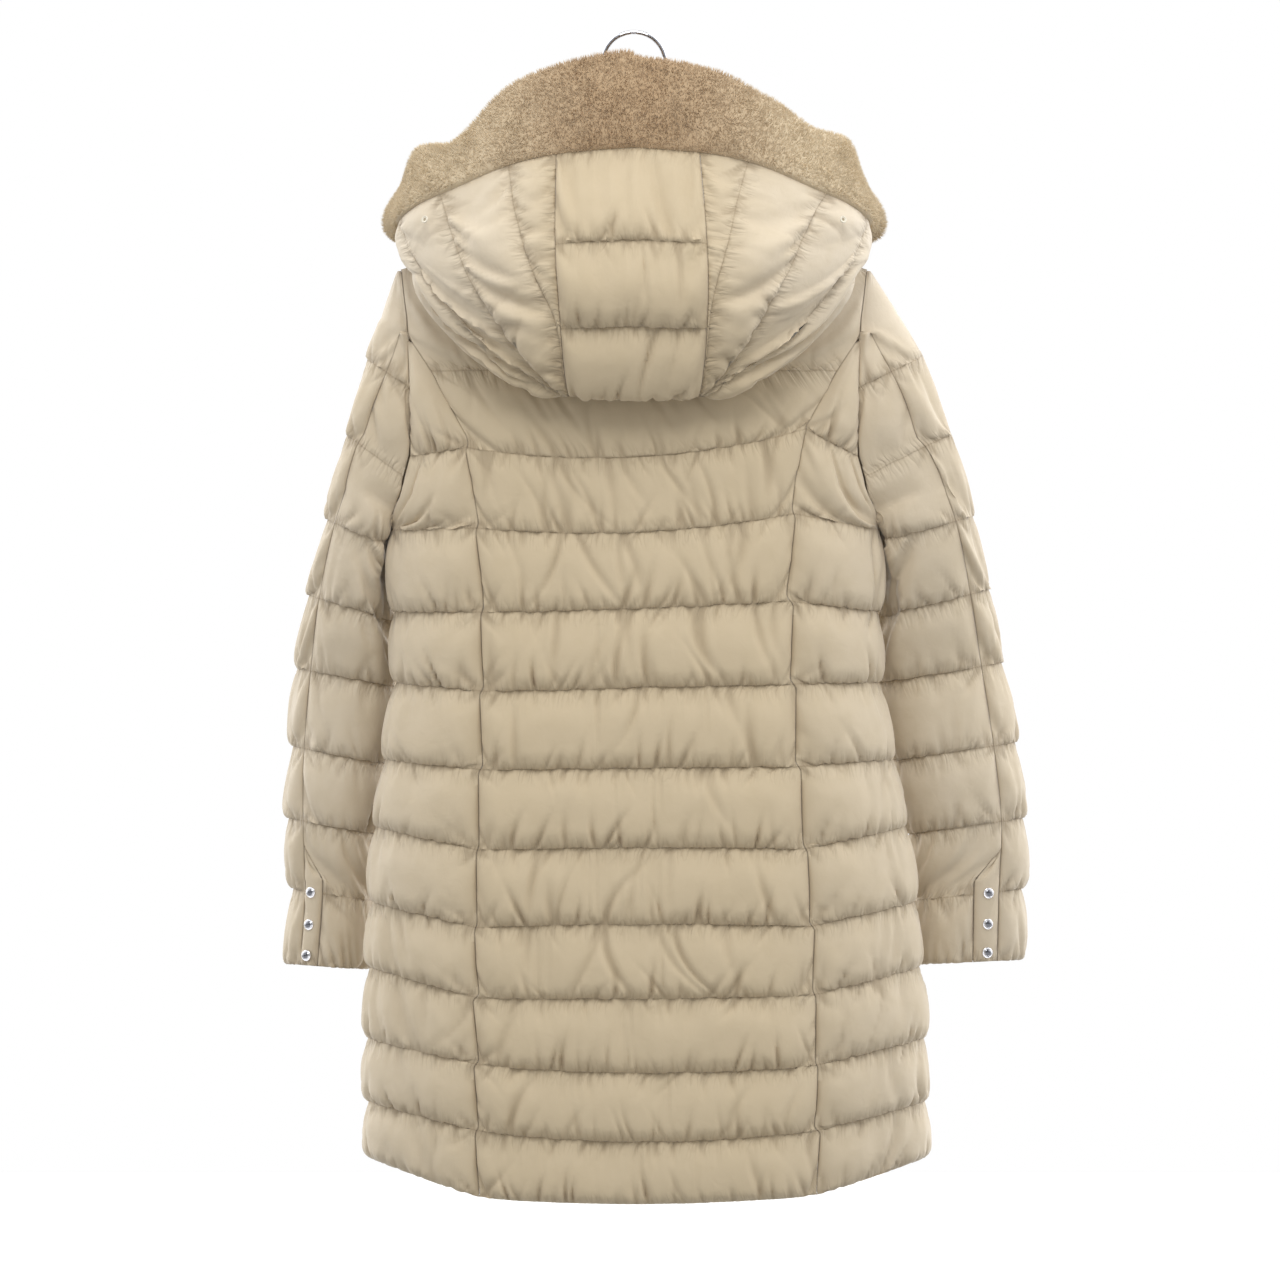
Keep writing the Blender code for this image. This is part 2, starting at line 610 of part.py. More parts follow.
def under_place(side):
    """The under sleeve. Beside the armhole its rows run from the back seam to the rim. Below
    that its columns start on the rim under the arm, and end evenly spread across a ring."""
    form = sleeve_form(side)
    fall = np.linspace(UNDER_ARM_ROW, SLEEVE_ARMHOLE["row"][-1], 61)
    rows = np.append(fall, np.linspace(fall[-1], UNDER_FRONT_ROW, 19)[1:])
    rim = np.interp(rows, SLEEVE_ARMHOLE["row"], SLEEVE_ARMHOLE["angle"])
    rim[len(fall):] = 360 - rim[len(fall):]
    steps = np.linalg.norm(np.diff(form(rim, rows), axis=0), axis=-1)
    run = np.append(0.0, np.cumsum(steps)) / np.sum(steps)
    run = UNDER_ARM_SHARE + (1 - UNDER_ARM_SHARE) * run
    edge = under_edge(side)
    grid = channel_rows(SLEEVE_ROWS)

    def place(across, row):
        top_row = np.interp(across, run, rows)
        last_grid = grid[np.searchsorted(grid, top_row + 0.02) - 1]
        part = np.clip((row - last_grid) / (UNDER_EVEN_ROW - last_grid), 0.0, 1.0)
        low = np.where(row < UNDER_EVEN_ROW, top_row + (UNDER_EVEN_ROW - top_row) * part, row)
        true_row = np.where(row < UNDER_ARM_ROW - 0.01, row, low)
        top_angle = np.interp(across, run, rim)
        top_edge = edge(top_row)
        top_share = (top_angle - top_edge) / (SLEEVE_FRONT_SEAM - top_edge)
        beside = top_share * across / UNDER_ARM_SHARE
        top_share = np.where(across < UNDER_ARM_SHARE, beside, top_share)
        start = edge(true_row)
        below = start + (SLEEVE_FRONT_SEAM - start) * inset(
            top_share + (across - top_share) * part, 0.15)
        above = start + (SLEEVE_ARMHOLE["angle"][0] - start) * inset(
            np.minimum(across / UNDER_ARM_SHARE, 1.0), 0.15)
        beside_rim = (row < UNDER_ARM_ROW + 0.01) & (across < UNDER_ARM_SHARE + 0.001)
        return np.where(beside_rim, above, below), true_row
    return place


# ---------------------------------------------------------------- the hood's form

def neck_edge(x, front):
    """The hood's edge on the neck seam, just above the body's top edge."""
    drop = np.where(front, front_top(x), back_top(x))
    turn = angle_at(x, drop)
    edge = body_point(np.where(front, 180 - turn, turn), drop)
    return edge + rows_to_points(0 * x, np.where(front, -NECK_OUT, NECK_OUT), NECK_RISE + 0 * x)


def clear_of_body(x, y, drop, gap):
    """A point over the back, front or shoulder, moved out until it is the gap off the body's
    inside face. Above the shoulder's rounding the body's upright section is an ellipse."""
    half = np.interp(drop, BODY["drop"], BODY["half"])
    deep = np.where(y > 0, np.interp(drop, BODY["drop"], BODY["back"]),
                    np.interp(drop, BODY["drop"], BODY["front"]))
    share = np.clip(np.abs(x) / half, 0.0, 1.0)
    deep = deep * (1 - share**SECTION_POWER) ** (1 / SECTION_POWER)
    middle = shoulder_drop(x) + SHOULDER_ROUND
    rise = np.maximum(middle - drop, 0.0)
    near = np.hypot(rise / (SHOULDER_ROUND + gap), y / (deep + gap))
    scale = 1 / np.clip(near, 0.2, 1.0)
    return y * scale, np.where(drop < middle, middle - rise * scale, drop)


def hood_form(across, along):
    """The hood's inside face: across in sections from the middle, plus to the left, and along
    from the opening's edge (0) by the fold (1) to the neck seam (2)."""
    section = np.abs(across)
    part = {name: through(column, section) for name, column in HOOD.items()}
    face = rows_to_points(part["face_x"], part["face_y"], -part["face_d"])
    fold = rows_to_points(part["fold_x"], part["fold_y"], -part["fold_d"])
    neck = neck_edge(part["neck_x"], section > NECK_SECTION)
    swell = rows_to_points(part["swell_x"], part["swell_y"], -part["swell_d"])
    path = np.stack([face, (face + fold) / 2 + swell, fold, (fold + neck) / 2, neck])
    place = np.clip(along * 2, 0.0, 4.0)
    low = np.clip(np.floor(place).astype(int), 0, 3)
    step = (place - low)[..., None]
    pick = [np.take_along_axis(path, np.clip(low + shift, 0, 4)[None, ..., None], axis=0)[0]
            for shift in (-1, 0, 1, 2)]
    leave = (pick[2] - pick[0]) / 2
    arrive = (pick[3] - pick[1]) / 2
    point = (pick[1] * (2 * step**3 - 3 * step**2 + 1) + leave * (step**3 - 2 * step**2 + step)
             + pick[2] * (3 * step**2 - 2 * step**3) + arrive * (step**3 - step**2))
    fade = np.interp(section, (NECK_SECTION - 0.5, NECK_SECTION + 0.7), NECK_FADE)
    gap = HOOD_CLEAR * np.clip((2.0 - along) / fade, 0.0, 1.0)
    y, drop = clear_of_body(point[..., 0], point[..., 1], -point[..., 2], gap)
    return rows_to_points(np.where(across < 0, -1, 1) * point[..., 0], y, -drop)


# ---------------------------------------------------------------- making meshes

model = bpy.data.collections.new("long_puffer_coat")


def finish(name, mesh, colour, roughness, metallic=0.0):
    """An object of this name with its own material, in the model's collection."""
    piece = bpy.data.objects.new(name, mesh)
    material = bpy.data.materials.new(name)
    material.use_nodes = True
    shader = material.node_tree.nodes["Principled BSDF"]
    shader.inputs["Base Color"].default_value = colour
    shader.inputs["Roughness"].default_value = roughness
    shader.inputs["Metallic"].default_value = metallic
    material.diffuse_color = colour
    mesh.materials.append(material)
    mesh.shade_smooth()
    mesh.set_sharp_from_angle(angle=math.radians(50))
    model.objects.link(piece)
    return piece


def wall(name, form, steps, place, thickness, columns, rows, kept, hand=1, lean=None,
         corner=(0, 0)):
    """One closed cloth wall. Its place gives the form's coordinates at each column and row. The
    plain inner face has points on the kept rows only, and the outer face has them on all rows,
    moved out along the form's normals, or along the lean's direction as far as it says. Cells
    above the corner's row and beyond its column are left out."""
    across, along = np.meshgrid(np.asarray(columns, dtype=float), rows)
    first, second = place(across, along)
    inner = form(first, second)
    outward = normals(form, first, second, steps, hand)
    if lean is not None:
        leaning, share = lean(first, second)
        outward = unit(outward * (1 - share) + leaning * share)
    outer = inner + outward * thickness(across, along)[..., None]
    wide = len(columns)
    last = len(rows) - 1
    outer_start = inner.shape[0] * wide
    corner_row, corner_column = corner
    faces = []

    def inside(row, column):
        return row * wide + column

    def outside(row, column):
        return outer_start + row * wide + column

    def top_row(column):
        return corner_row if column >= corner_column else 0

    for column in range(wide - 1):
        for row in range(top_row(column), last):
            beyond = outside(row + 1, column + 1)
            faces.append((outside(row, column), outside(row + 1, column), beyond))
            faces.append((outside(row, column), beyond, outside(row, column + 1)))
        for top, bottom in zip(kept[:-1], kept[1:]):
            if top >= top_row(column):
                beyond = inside(bottom, column + 1)
                faces.append((inside(top, column), beyond, inside(bottom, column)))
                faces.append((inside(top, column), inside(top, column + 1), beyond))
        top = top_row(column)
        faces.append((inside(top, column), outside(top, column), outside(top, column + 1),
                      inside(top, column + 1)))
        faces.append((inside(last, column), inside(last, column + 1),
                      outside(last, column + 1), outside(last, column)))
    for top, bottom in zip(kept[:-1], kept[1:]):
        turn = (top + bottom) // 2
        for column in (0, wide - 1 if top >= corner_row else corner_column):
            fans = [(inside(top if row < turn else bottom, column), outside(row + 1, column),
                     outside(row, column)) for row in range(top, bottom)]
            fans.append((inside(top, column), inside(bottom, column), outside(turn, column)))
            faces += fans if column == 0 else [fan[::-1] for fan in fans]
    mesh = bpy.data.meshes.new(name)
    points = np.concatenate([inner.reshape(-1, 3), outer.reshape(-1, 3)])
    mesh.from_pydata(points.tolist(), [], faces)
    tidy = bmesh.new()
    tidy.from_mesh(mesh)
    bmesh.ops.remove_doubles(tidy, verts=tidy.verts, dist=1e-6)
    bmesh.ops.dissolve_degenerate(tidy, edges=tidy.edges, dist=1e-6)
    loose = [vert for vert in tidy.verts if not vert.link_faces]
    bmesh.ops.delete(tidy, geom=loose, context="VERTS")
    bmesh.ops.recalc_face_normals(tidy, faces=tidy.faces)
    tidy.to_mesh(mesh)
    tidy.free()
    return finish(name, mesh, SHELL_COLOUR, 0.75)


def turned(name, radius, height, spot, facing, colour, metallic):
    """A low domed disc, turned about the axis that stands on its spot."""
    profile = [(0.0, height), (0.55 * radius, 0.86 * height), (0.86 * radius, 0.52 * height),
               (radius, 0.14 * height), (radius, 0.0), (0.0, 0.0)]
    mesh = bpy.data.meshes.new(name)
    edges = [(step, step + 1) for step in range(len(profile) - 1)]
    mesh.from_pydata([(reach, 0.0, up) for reach, up in profile], edges, [])
    piece = finish(name, mesh, colour, 0.25, metallic)
    screw = piece.modifiers.new("turn", "SCREW")
    screw.steps = 12
    screw.render_steps = 12
    screw.use_merge_vertices = True
    screw.merge_threshold = 1e-5
    turn = Vector(facing).to_track_quat("Z", "Y")
    piece.matrix_world = Matrix.Translation(Vector(spot)) @ turn.to_matrix().to_4x4()
    return piece


def rod(name, points, radius, resolution, colour, metallic):
    """A round rod along its points, with closed ends."""
    curve = bpy.data.curves.new(name, "CURVE")
    curve.dimensions = "3D"
    curve.bevel_depth = radius
    curve.bevel_resolution = resolution
    curve.use_fill_caps = True
    line = curve.splines.new("POLY")
    line.points.add(len(points) - 1)
    for target, point in zip(line.points, points):
        target.co = (*point, 1.0)
    piece = bpy.data.objects.new(name, curve)
    material = bpy.data.materials.new(name)
    material.use_nodes = True
    shader = material.node_tree.nodes["Principled BSDF"]
    shader.inputs["Base Color"].default_value = colour
    shader.inputs["Roughness"].default_value = 0.35
    shader.inputs["Metallic"].default_value = metallic
    curve.materials.append(material)
    model.objects.link(piece)
    return piece


# ---------------------------------------------------------------- the pieces

BODY_STEPS = (0.4, 0.0006)      # degrees and metres between points that give a normal
SLEEVE_STEPS = (0.5, 0.01)
HOOD_STEPS = (0.01, 0.004)


def body_loft(across, row):
    """Full channels, with a flatter one for the yoke."""
    return loft(across, row, np.where(row < 1.0, YOKE_LOFT, BODY_LOFT), 0.12)


def make_body():
    rows = channel_rows(len(BACK_LINES["middle"]))
    wall("back_centre", body_point, BODY_STEPS, back_place, body_loft, ACROSS_BACK, rows,
         kept_rows(rows))
    side_rows = np.append(SIDE_EDGE["row"][0], rows[rows > SIDE_EDGE["row"][0]])
    for side, sign in (("left", 1), ("right", -1)):
        wall(f"back_side_{side}", body_point, BODY_STEPS, side_place(side), side_loft, NARROW,
             side_rows, kept_rows(side_rows))
        wall(f"front_{side}", body_point, BODY_STEPS, front_place(sign), body_loft,
             ACROSS_FRONT, rows, kept_rows(rows))


def placket_wall(across, row):
    return PLACKET_WALL - 0.002 * (np.abs(across - 0.5) > 0.45)


def make_placket():
    rows = channel_rows(len(FRONT_LINES["side"]), (0.0, 0.5))
    columns = inset(np.array([0.0, 0.12, 0.88, 1.0]), 2 * PLACKET_HALF)
    wall("front_placket", body_point, BODY_STEPS, placket_place, placket_wall, columns, rows,
         kept_rows(rows))
    for number, row in enumerate(np.linspace(0.6, rows[-1] - 2.4, 6), start=1):
        place = placket_place(np.array([0.5]), np.array([row]))
        outward = normals(body_point, *place, BODY_STEPS)[0]
        spot = body_point(*place)[0] + outward * (PLACKET_WALL + SEAM_GAP)
        turned(f"front_snap_{number}", SNAP_RADIUS, SNAP_HEIGHT, spot, outward, SNAP_COLOUR, 1.0)


def make_sleeves():
    rows = channel_rows(SLEEVE_ROWS)
    under_rows = rows[rows > UNDER_TOP_ROW - 0.01]
    for side, hand in (("left", -1), ("right", 1)):
        form = sleeve_form(side)
        lean = sleeve_lean(side)
        upper = upper_place(side)
        wall(f"sleeve_upper_{side}", form, SLEEVE_STEPS, upper, sleeve_wall(upper), WIDE, rows,
             kept_rows(rows, 7), hand, lean)
        under = under_place(side)
        corner = (int(np.argmin(np.abs(under_rows - UNDER_ARM_ROW))),
                  ACROSS_UNDER.index(UNDER_ARM_SHARE))
        wall(f"sleeve_under_{side}", form, SLEEVE_STEPS, under, sleeve_wall(under), ACROSS_UNDER,
             under_rows, kept_rows(under_rows, 7), hand, lean, corner)


def make_cuff_plackets():
    rows = channel_rows(SLEEVE_ROWS)
    rows = rows[rows > CUFF_PLACKET_TOP]
    for side, hand in (("left", -1), ("right", 1)):
        def strip(across, row, side=side):
            start = back_seam(side)(row) + 0.6
            end = under_edge(side)(row) - 0.6
            return start + np.maximum(end - start, 1.0) * across, row

        form = sleeve_form(side)
        wall(f"cuff_placket_{side}", form, SLEEVE_STEPS, strip,
             lambda across, row: CUFF_PLACKET_WALL + 0 * across, (0.0, 0.5, 1.0), rows,
             list(range(len(rows))), hand)
        for number, row in enumerate((8.0, 8.4, 8.8), start=1):
            place = strip(np.array([0.5]), np.array([row]))
            outward = normals(form, *place, SLEEVE_STEPS, hand)[0]
            spot = form(*place)[0] + outward * (CUFF_PLACKET_WALL + SEAM_GAP)
            turned(f"cuff_snap_{side}_{number}", SNAP_RADIUS, SNAP_HEIGHT, spot, outward,
                   SNAP_COLOUR, 1.0)


def pressed(along):
    """A hood channel's fullest wall: swollen outside, thin where the hood lies on the back."""
    share = np.clip((1.25 - along) / 0.3, 0.0, 1.0)
    return PRESSED_LOFT + (HOOD_LOFT - PRESSED_LOFT) * share


def make_hood():
    def centre(across, along):
        return HOOD_SEAM * (1 - 2 * inset(across, 0.12)), along

    def centre_wall(across, along):
        row = np.interp(along, HOOD_CROSS, np.arange(len(HOOD_CROSS)))
        return loft(across, row, pressed(along), 0.16)

    wall("hood_centre", hood_form, HOOD_STEPS, centre, centre_wall, NARROW, HOOD_STATIONS,
         list(range(len(HOOD_STATIONS))))
    rows = channel_rows(len(HOOD_SECTIONS) - 1)
    for side, sign in (("left", 1), ("right", -1)):
        def panel(run, row, sign=sign):
            section = np.interp(row, np.arange(len(HOOD_SECTIONS)), HOOD_SECTIONS)
            return sign * (section + 0.003), 2 * run

        def panel_wall(run, row):
            return loft(run, row, pressed(2 * run), 0.10)

        wall(f"hood_side_{side}", hood_form, HOOD_STEPS, panel, panel_wall, HOOD_STATIONS / 2,
             rows, list(range(len(rows))))
        place = panel(np.array([BUTTON_ALONG / 2]), np.array([BUTTON_ROW]))
        outward = normals(hood_form, *place, HOOD_STEPS)[0]
        thick = np.interp(BUTTON_ALONG, HOOD_STATIONS, panel_wall(HOOD_STATIONS / 2, BUTTON_ROW))
        spot = hood_form(*place)[0] + outward * (thick + SEAM_GAP)
        turned(f"hood_button_{side}", BUTTON_RADIUS, BUTTON_HEIGHT, spot, outward, BUTTON_COLOUR,
               0.0)


def make_fur():
    """The trim: a leaf-shaped section carried round the hood's opening."""
    sections = np.linspace(-HOOD_THROAT, HOOD_THROAT, 49)
    root = hood_form(sections, np.zeros_like(sections))
    shape = {name: through(column, np.abs(sections)) for name, column in FUR.items()}
    up = unit(rows_to_points(np.sign(sections) * shape["lean_x"], shape["lean_y"],
                             np.ones_like(sections)))
    leave = unit(root - hood_form(sections, np.full_like(sections, 0.03)))
    root = root + normals(hood_form, sections, np.zeros_like(sections), HOOD_STEPS) * SEAM_WALL / 2
    ahead = unit(np.gradient(root, axis=0))
    side = unit(np.cross(ahead, up))
    profile = [(0.00, 0.08), (0.12, 0.75), (0.45, 1.0), (0.80, 0.90), (0.95, 0.55), (1.0, 0.0)]
    ring = profile + [(up_share, -wide) for up_share, wide in profile[-2::-1]]
    points = []
    for rise, wide in ring:
        points.append(root + leave * FUR_ROOT + up * (rise * shape["height"][:, None])
                      + side * (wide * shape["thick"][:, None] / 2))
    points = np.stack(points, axis=1)
    stations, around = points.shape[:2]
    faces = [tuple(range(around)), tuple((stations - 1) * around + step for step in range(around))]
    for station in range(stations - 1):
        for step in range(around):
            following = (step + 1) % around
            faces.append((station * around + step, station * around + following,
                          (station + 1) * around + following, (station + 1) * around + step))
    mesh = bpy.data.meshes.new("fur_trim")
    mesh.from_pydata(points.reshape(-1, 3).tolist(), [], faces)
    tidy = bmesh.new()
    tidy.from_mesh(mesh)
    bmesh.ops.recalc_face_normals(tidy, faces=tidy.faces)
    tidy.to_mesh(mesh)
    tidy.free()
    finish("fur_trim", mesh, FUR_COLOUR, 0.95)


def make_hanger():
    """A wire hook over its shank, and a round bar that follows the shoulders inside."""
    wire = HOOK_INNER_RADIUS + HOOK_WIRE_RADIUS
    middle = -HOOK_INNER_RADIUS
    points = []
    for step in range(25):
        turn = math.radians(-50 + step * 250 / 24)
        points.append((-wire * math.cos(turn), 0.0, middle + wire * math.sin(turn)))
    bar_top = -(SHOULDER_APEX + HANGER_BAR_BELOW + HANGER_BAR_RISE - SEAM_GAP)
    low = points[-1][2]
    for share in (0.35, 0.7, 1.0):
        ease = share * share * (3 - 2 * share)
        points.append((points[24][0] * (1 - ease), 0.0, low - 0.022 * share))
    points.append((0.0, 0.0, bar_top))
    rod("hanger_hook", points, HOOK_WIRE_RADIUS, 2, STEEL_COLOUR, 1.0)
    bar = []
    for x in np.linspace(-HANGER_BAR_REACH, HANGER_BAR_REACH, 25):
        rise = HANGER_BAR_RISE * math.exp(-(x / 0.03) ** 2)
        line = shoulder_drop(x) + HANGER_BAR_BELOW + rise
        bar.append((x, 0.0, -(line + HANGER_BAR_RADIUS)))
    rod("hanger_bar", bar, HANGER_BAR_RADIUS, 2, HANGER_COLOUR, 0.0)


bpy.context.scene.collection.children.link(model)
make_body()
make_placket()
make_sleeves()
make_cuff_plackets()
make_hood()
make_fur()
make_hanger()
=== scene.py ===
from functools import partial
import math

import bmesh
import bpy
import numpy as np
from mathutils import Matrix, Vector


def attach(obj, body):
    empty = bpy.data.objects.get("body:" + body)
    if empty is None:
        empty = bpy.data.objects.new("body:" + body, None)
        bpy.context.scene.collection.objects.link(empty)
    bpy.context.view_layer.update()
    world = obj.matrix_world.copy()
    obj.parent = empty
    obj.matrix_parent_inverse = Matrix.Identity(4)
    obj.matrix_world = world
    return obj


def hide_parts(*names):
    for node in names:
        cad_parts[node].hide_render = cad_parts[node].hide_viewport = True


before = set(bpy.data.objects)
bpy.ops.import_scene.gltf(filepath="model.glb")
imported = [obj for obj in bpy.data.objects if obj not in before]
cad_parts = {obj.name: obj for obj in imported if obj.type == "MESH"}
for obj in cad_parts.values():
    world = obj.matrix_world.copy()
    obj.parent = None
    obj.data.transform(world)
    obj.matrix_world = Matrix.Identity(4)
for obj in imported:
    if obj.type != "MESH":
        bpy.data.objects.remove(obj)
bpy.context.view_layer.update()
scene = bpy.context.scene

# ---------------------------------------------------------------- The studio
# A tent of white cloth: an even surround, a square panel above the coat's back, bright walls to
# either side and behind, and a pale matt floor. The camera looks straight at the back.

FRAME_SIDE = 1.152            # metres across the square frame, in the hook's plane
CAMERA_PLACE = (-0.0054, 14.0, -0.5454)
SENSOR = 36
SURROUND = 0.50               # the tent's light on the coat, where the camera sees 1
PANEL_SIDE = 1.2
FLOOR_DROP = 1.30
FLOOR_HALF = 8.0

camera = bpy.data.cameras.new("camera")
camera.sensor_width = SENSOR
camera.lens = SENSOR * CAMERA_PLACE[1] / FRAME_SIDE
viewpoint = bpy.data.objects.new("camera", camera)
viewpoint.location = CAMERA_PLACE
viewpoint.rotation_euler = (math.pi / 2, 0, math.pi)
scene.collection.objects.link(viewpoint)
scene.camera = viewpoint
scene.view_settings.view_transform = "Standard"

surround = bpy.data.worlds.new("studio")
surround.use_nodes = True
glow = surround.node_tree.nodes["Background"]
seen = surround.node_tree.nodes.new("ShaderNodeLightPath").outputs["Is Camera Ray"]
level = surround.node_tree.nodes.new("ShaderNodeMapRange")
level.inputs["To Min"].default_value = SURROUND
level.inputs["To Max"].default_value = 1.0
surround.node_tree.links.new(seen, level.inputs["Value"])
surround.node_tree.links.new(level.outputs["Result"], glow.inputs["Strength"])
glow.inputs["Color"].default_value = (1, 1, 1, 1)
scene.world = surround


def soft_light(name, towards, power, spread=None, place=None):
    """A square panel at a place, or else a far bright wall softened by its spread."""
    lamp = bpy.data.lights.new(name, "AREA" if place else "SUN")
    lamp.energy = power
    panel = bpy.data.objects.new(name, lamp)
    if place:
        lamp.size = PANEL_SIDE
        panel.location = place
    else:
        lamp.angle = math.radians(spread)
    panel.rotation_euler = Vector(towards).to_track_quat("-Z", "Y").to_euler()
    scene.collection.objects.link(panel)


soft_light("overhead", (0, -1.6, -1.8), 27, place=(0, 1.6, 1.2))
soft_light("wall_left", (-1, -0.35, -0.6), 0.60, 50)
soft_light("wall_right", (1, -0.35, -0.6), 0.95, 50)
soft_light("behind_left", (-0.9, 0.7, -0.5), 2.2, 60)
soft_light("behind_right", (0.9, 0.7, -0.5), 2.4, 60)


class Wire:
    """One output of a shader node. Sums and products of wires and numbers add Math nodes."""

    def __init__(self, finish, socket):
        self.finish = finish
        self.socket = socket

    def math(self, operation, *values):
        return self.finish.node("Math", {"operation": operation}, dict(enumerate(values)))

    def __add__(self, other):
        return self.math("ADD", self, other)

    def __sub__(self, other):
        return self.math("SUBTRACT", self, other)

    def __rsub__(self, other):
        return self.math("SUBTRACT", other, self)

    def __mul__(self, other):
        return self.math("MULTIPLY", self, other)

    def __abs__(self):
        return self.math("ABSOLUTE", self)

    __radd__ = __add__
    __rmul__ = __mul__

    def sine(self):
        return self.math("SINE", self)

    def band(self, low, high):
        """0 below the low value, 1 above the high one, and a smooth step between."""
        return self.finish.node("MapRange", {"interpolation_type": "SMOOTHSTEP"},
                                {"Value": self, "From Min": low, "From Max": high})


class Finish:
    """A material under the brush: one method for its nodes, one for its colours."""

    def __init__(self, name, **sockets):
        self.material = bpy.data.materials.new(name)
        self.material.use_nodes = True
        self.tree = self.material.node_tree
        self.shader = self.tree.nodes["Principled BSDF"]
        for socket, value in sockets.items():
            self.shader.inputs[socket.replace("_", " ").title()].default_value = value

    def feed(self, socket, value):
        if isinstance(value, Wire):
            self.tree.links.new(value.socket, socket)
        else:
            socket.default_value = value

    def node(self, kind, settings=None, values=None, output=0):
        """A node of this kind, with its settings made first and its sockets fed after."""
        made = self.tree.nodes.new("ShaderNode" + kind)
        for setting, value in (settings or {}).items():
            setattr(made, setting, value)
        for socket, value in (values or {}).items():
            self.feed(made.inputs[socket], value)
        return Wire(self, made.outputs[output])

    def place(self):
        return self.node("TexCoord", output="Object")

    def measure(self, name):
        """A number that the mesh's points carry."""
        return self.node("Attribute", {"attribute_name": name}, output="Fac")

    def part(self, vector, axis="X"):
        return self.node("SeparateXYZ", {}, {"Vector": vector}, axis)

    def blend(self, share, first, second):
        """One colour turning into another by a share from 0 to 1."""
        return self.node("Mix", {"data_type": "RGBA"}, {0: share, 6: first, 7: second}, 2)

    def cloud(self, vector, scale, detail=2.0, **values):
        return self.node("TexNoise", {}, {"Vector": vector, "Scale": scale, "Detail": detail,
                                          **values})

    def stretched(self, vector, stretch):
        return self.node("Mapping", {}, {"Vector": vector, "Scale": stretch})

    def relief(self, height, deep, strength=1.0, under=None):
        values = {"Height": height, "Distance": deep, "Strength": strength}
        if under is not None:
            values["Normal"] = under
        return self.node("Bump", {}, values)

    def give(self, **wires):
        for socket, wire in wires.items():
            self.feed(self.shader.inputs[socket.replace("_", " ").title()], wire)


def colour(red, green, blue):
    """A screen colour from 0 to 255, as the shader's linear one."""
    screen = np.array([red, green, blue]) / 255
    linear = np.where(screen <= 0.04045, screen / 12.92, ((screen + 0.055) / 1.055) ** 2.4)
    return (*linear.tolist(), 1.0)


floor_finish = Finish("pale_floor", roughness=0.9)
floor_finish.give(base_color=floor_finish.blend(
    floor_finish.cloud(floor_finish.place(), 2.0), colour(246, 246, 246), colour(250, 250, 250)))
floor_mesh = bpy.data.meshes.new("floor")
floor_mesh.from_pydata([(x * FLOOR_HALF, y * FLOOR_HALF, -FLOOR_DROP) for x, y in
                        ((-1, -1), (1, -1), (1, 1), (-1, 1))], [], [(0, 1, 2, 3)])
floor_mesh.materials.append(floor_finish.material)
floor = bpy.data.objects.new("floor", floor_mesh)
scene.collection.objects.link(floor)
floor.visible_diffuse = False

# ---------------------------------------------------------------- The hanger
# A chromed wire hook over its shank, screwed into a plain dark moulded bar that carries the
# shoulders from inside. Both keep their solids' shape.

chrome = Finish("hook_chrome", metallic=1.0, roughness=0.14)
brushed = chrome.cloud(chrome.stretched(chrome.place(), (900.0, 900.0, 60.0)), 1.0, 3.0)
chrome.give(base_color=chrome.blend(brushed, colour(120, 122, 128), colour(196, 198, 204)),
            roughness=0.10 + 0.12 * brushed)

moulded = Finish("hanger_moulded", roughness=0.5)
grain = moulded.cloud(moulded.place(), 900.0, 3.0)
moulded.give(base_color=moulded.blend(grain, colour(26, 26, 28), colour(38, 38, 41)),
             roughness=0.42 + 0.15 * grain,
             normal=moulded.relief(grain, 0.0001, 0.4))


def refinish(node, finish):
    """A solid that is shown as it is gets this finish."""
    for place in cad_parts[node].material_slots:
        place.material = finish.material


refinish("hanger_hook", chrome)
refinish("hanger_bar", moulded)

# ---------------------------------------------------------------- The shell cloth
# A matt, tightly woven light cloth over down. Every panel is cut a little larger than its
# plain inside, so it puffs between its quilt lines and gathers along them.

SEAM_GAP = 0.0003             # from one panel to the next
SEAM_WALL = 0.0020            # a wall's thickness on its seams and quilt lines
BODY_LOFT = 0.0120            # and at its fullest, on each kind of panel
YOKE_LOFT = 0.0085
SLEEVE_LOFT = 0.0090
HOOD_LOFT = 0.0125
PRESSED_LOFT = 0.0032


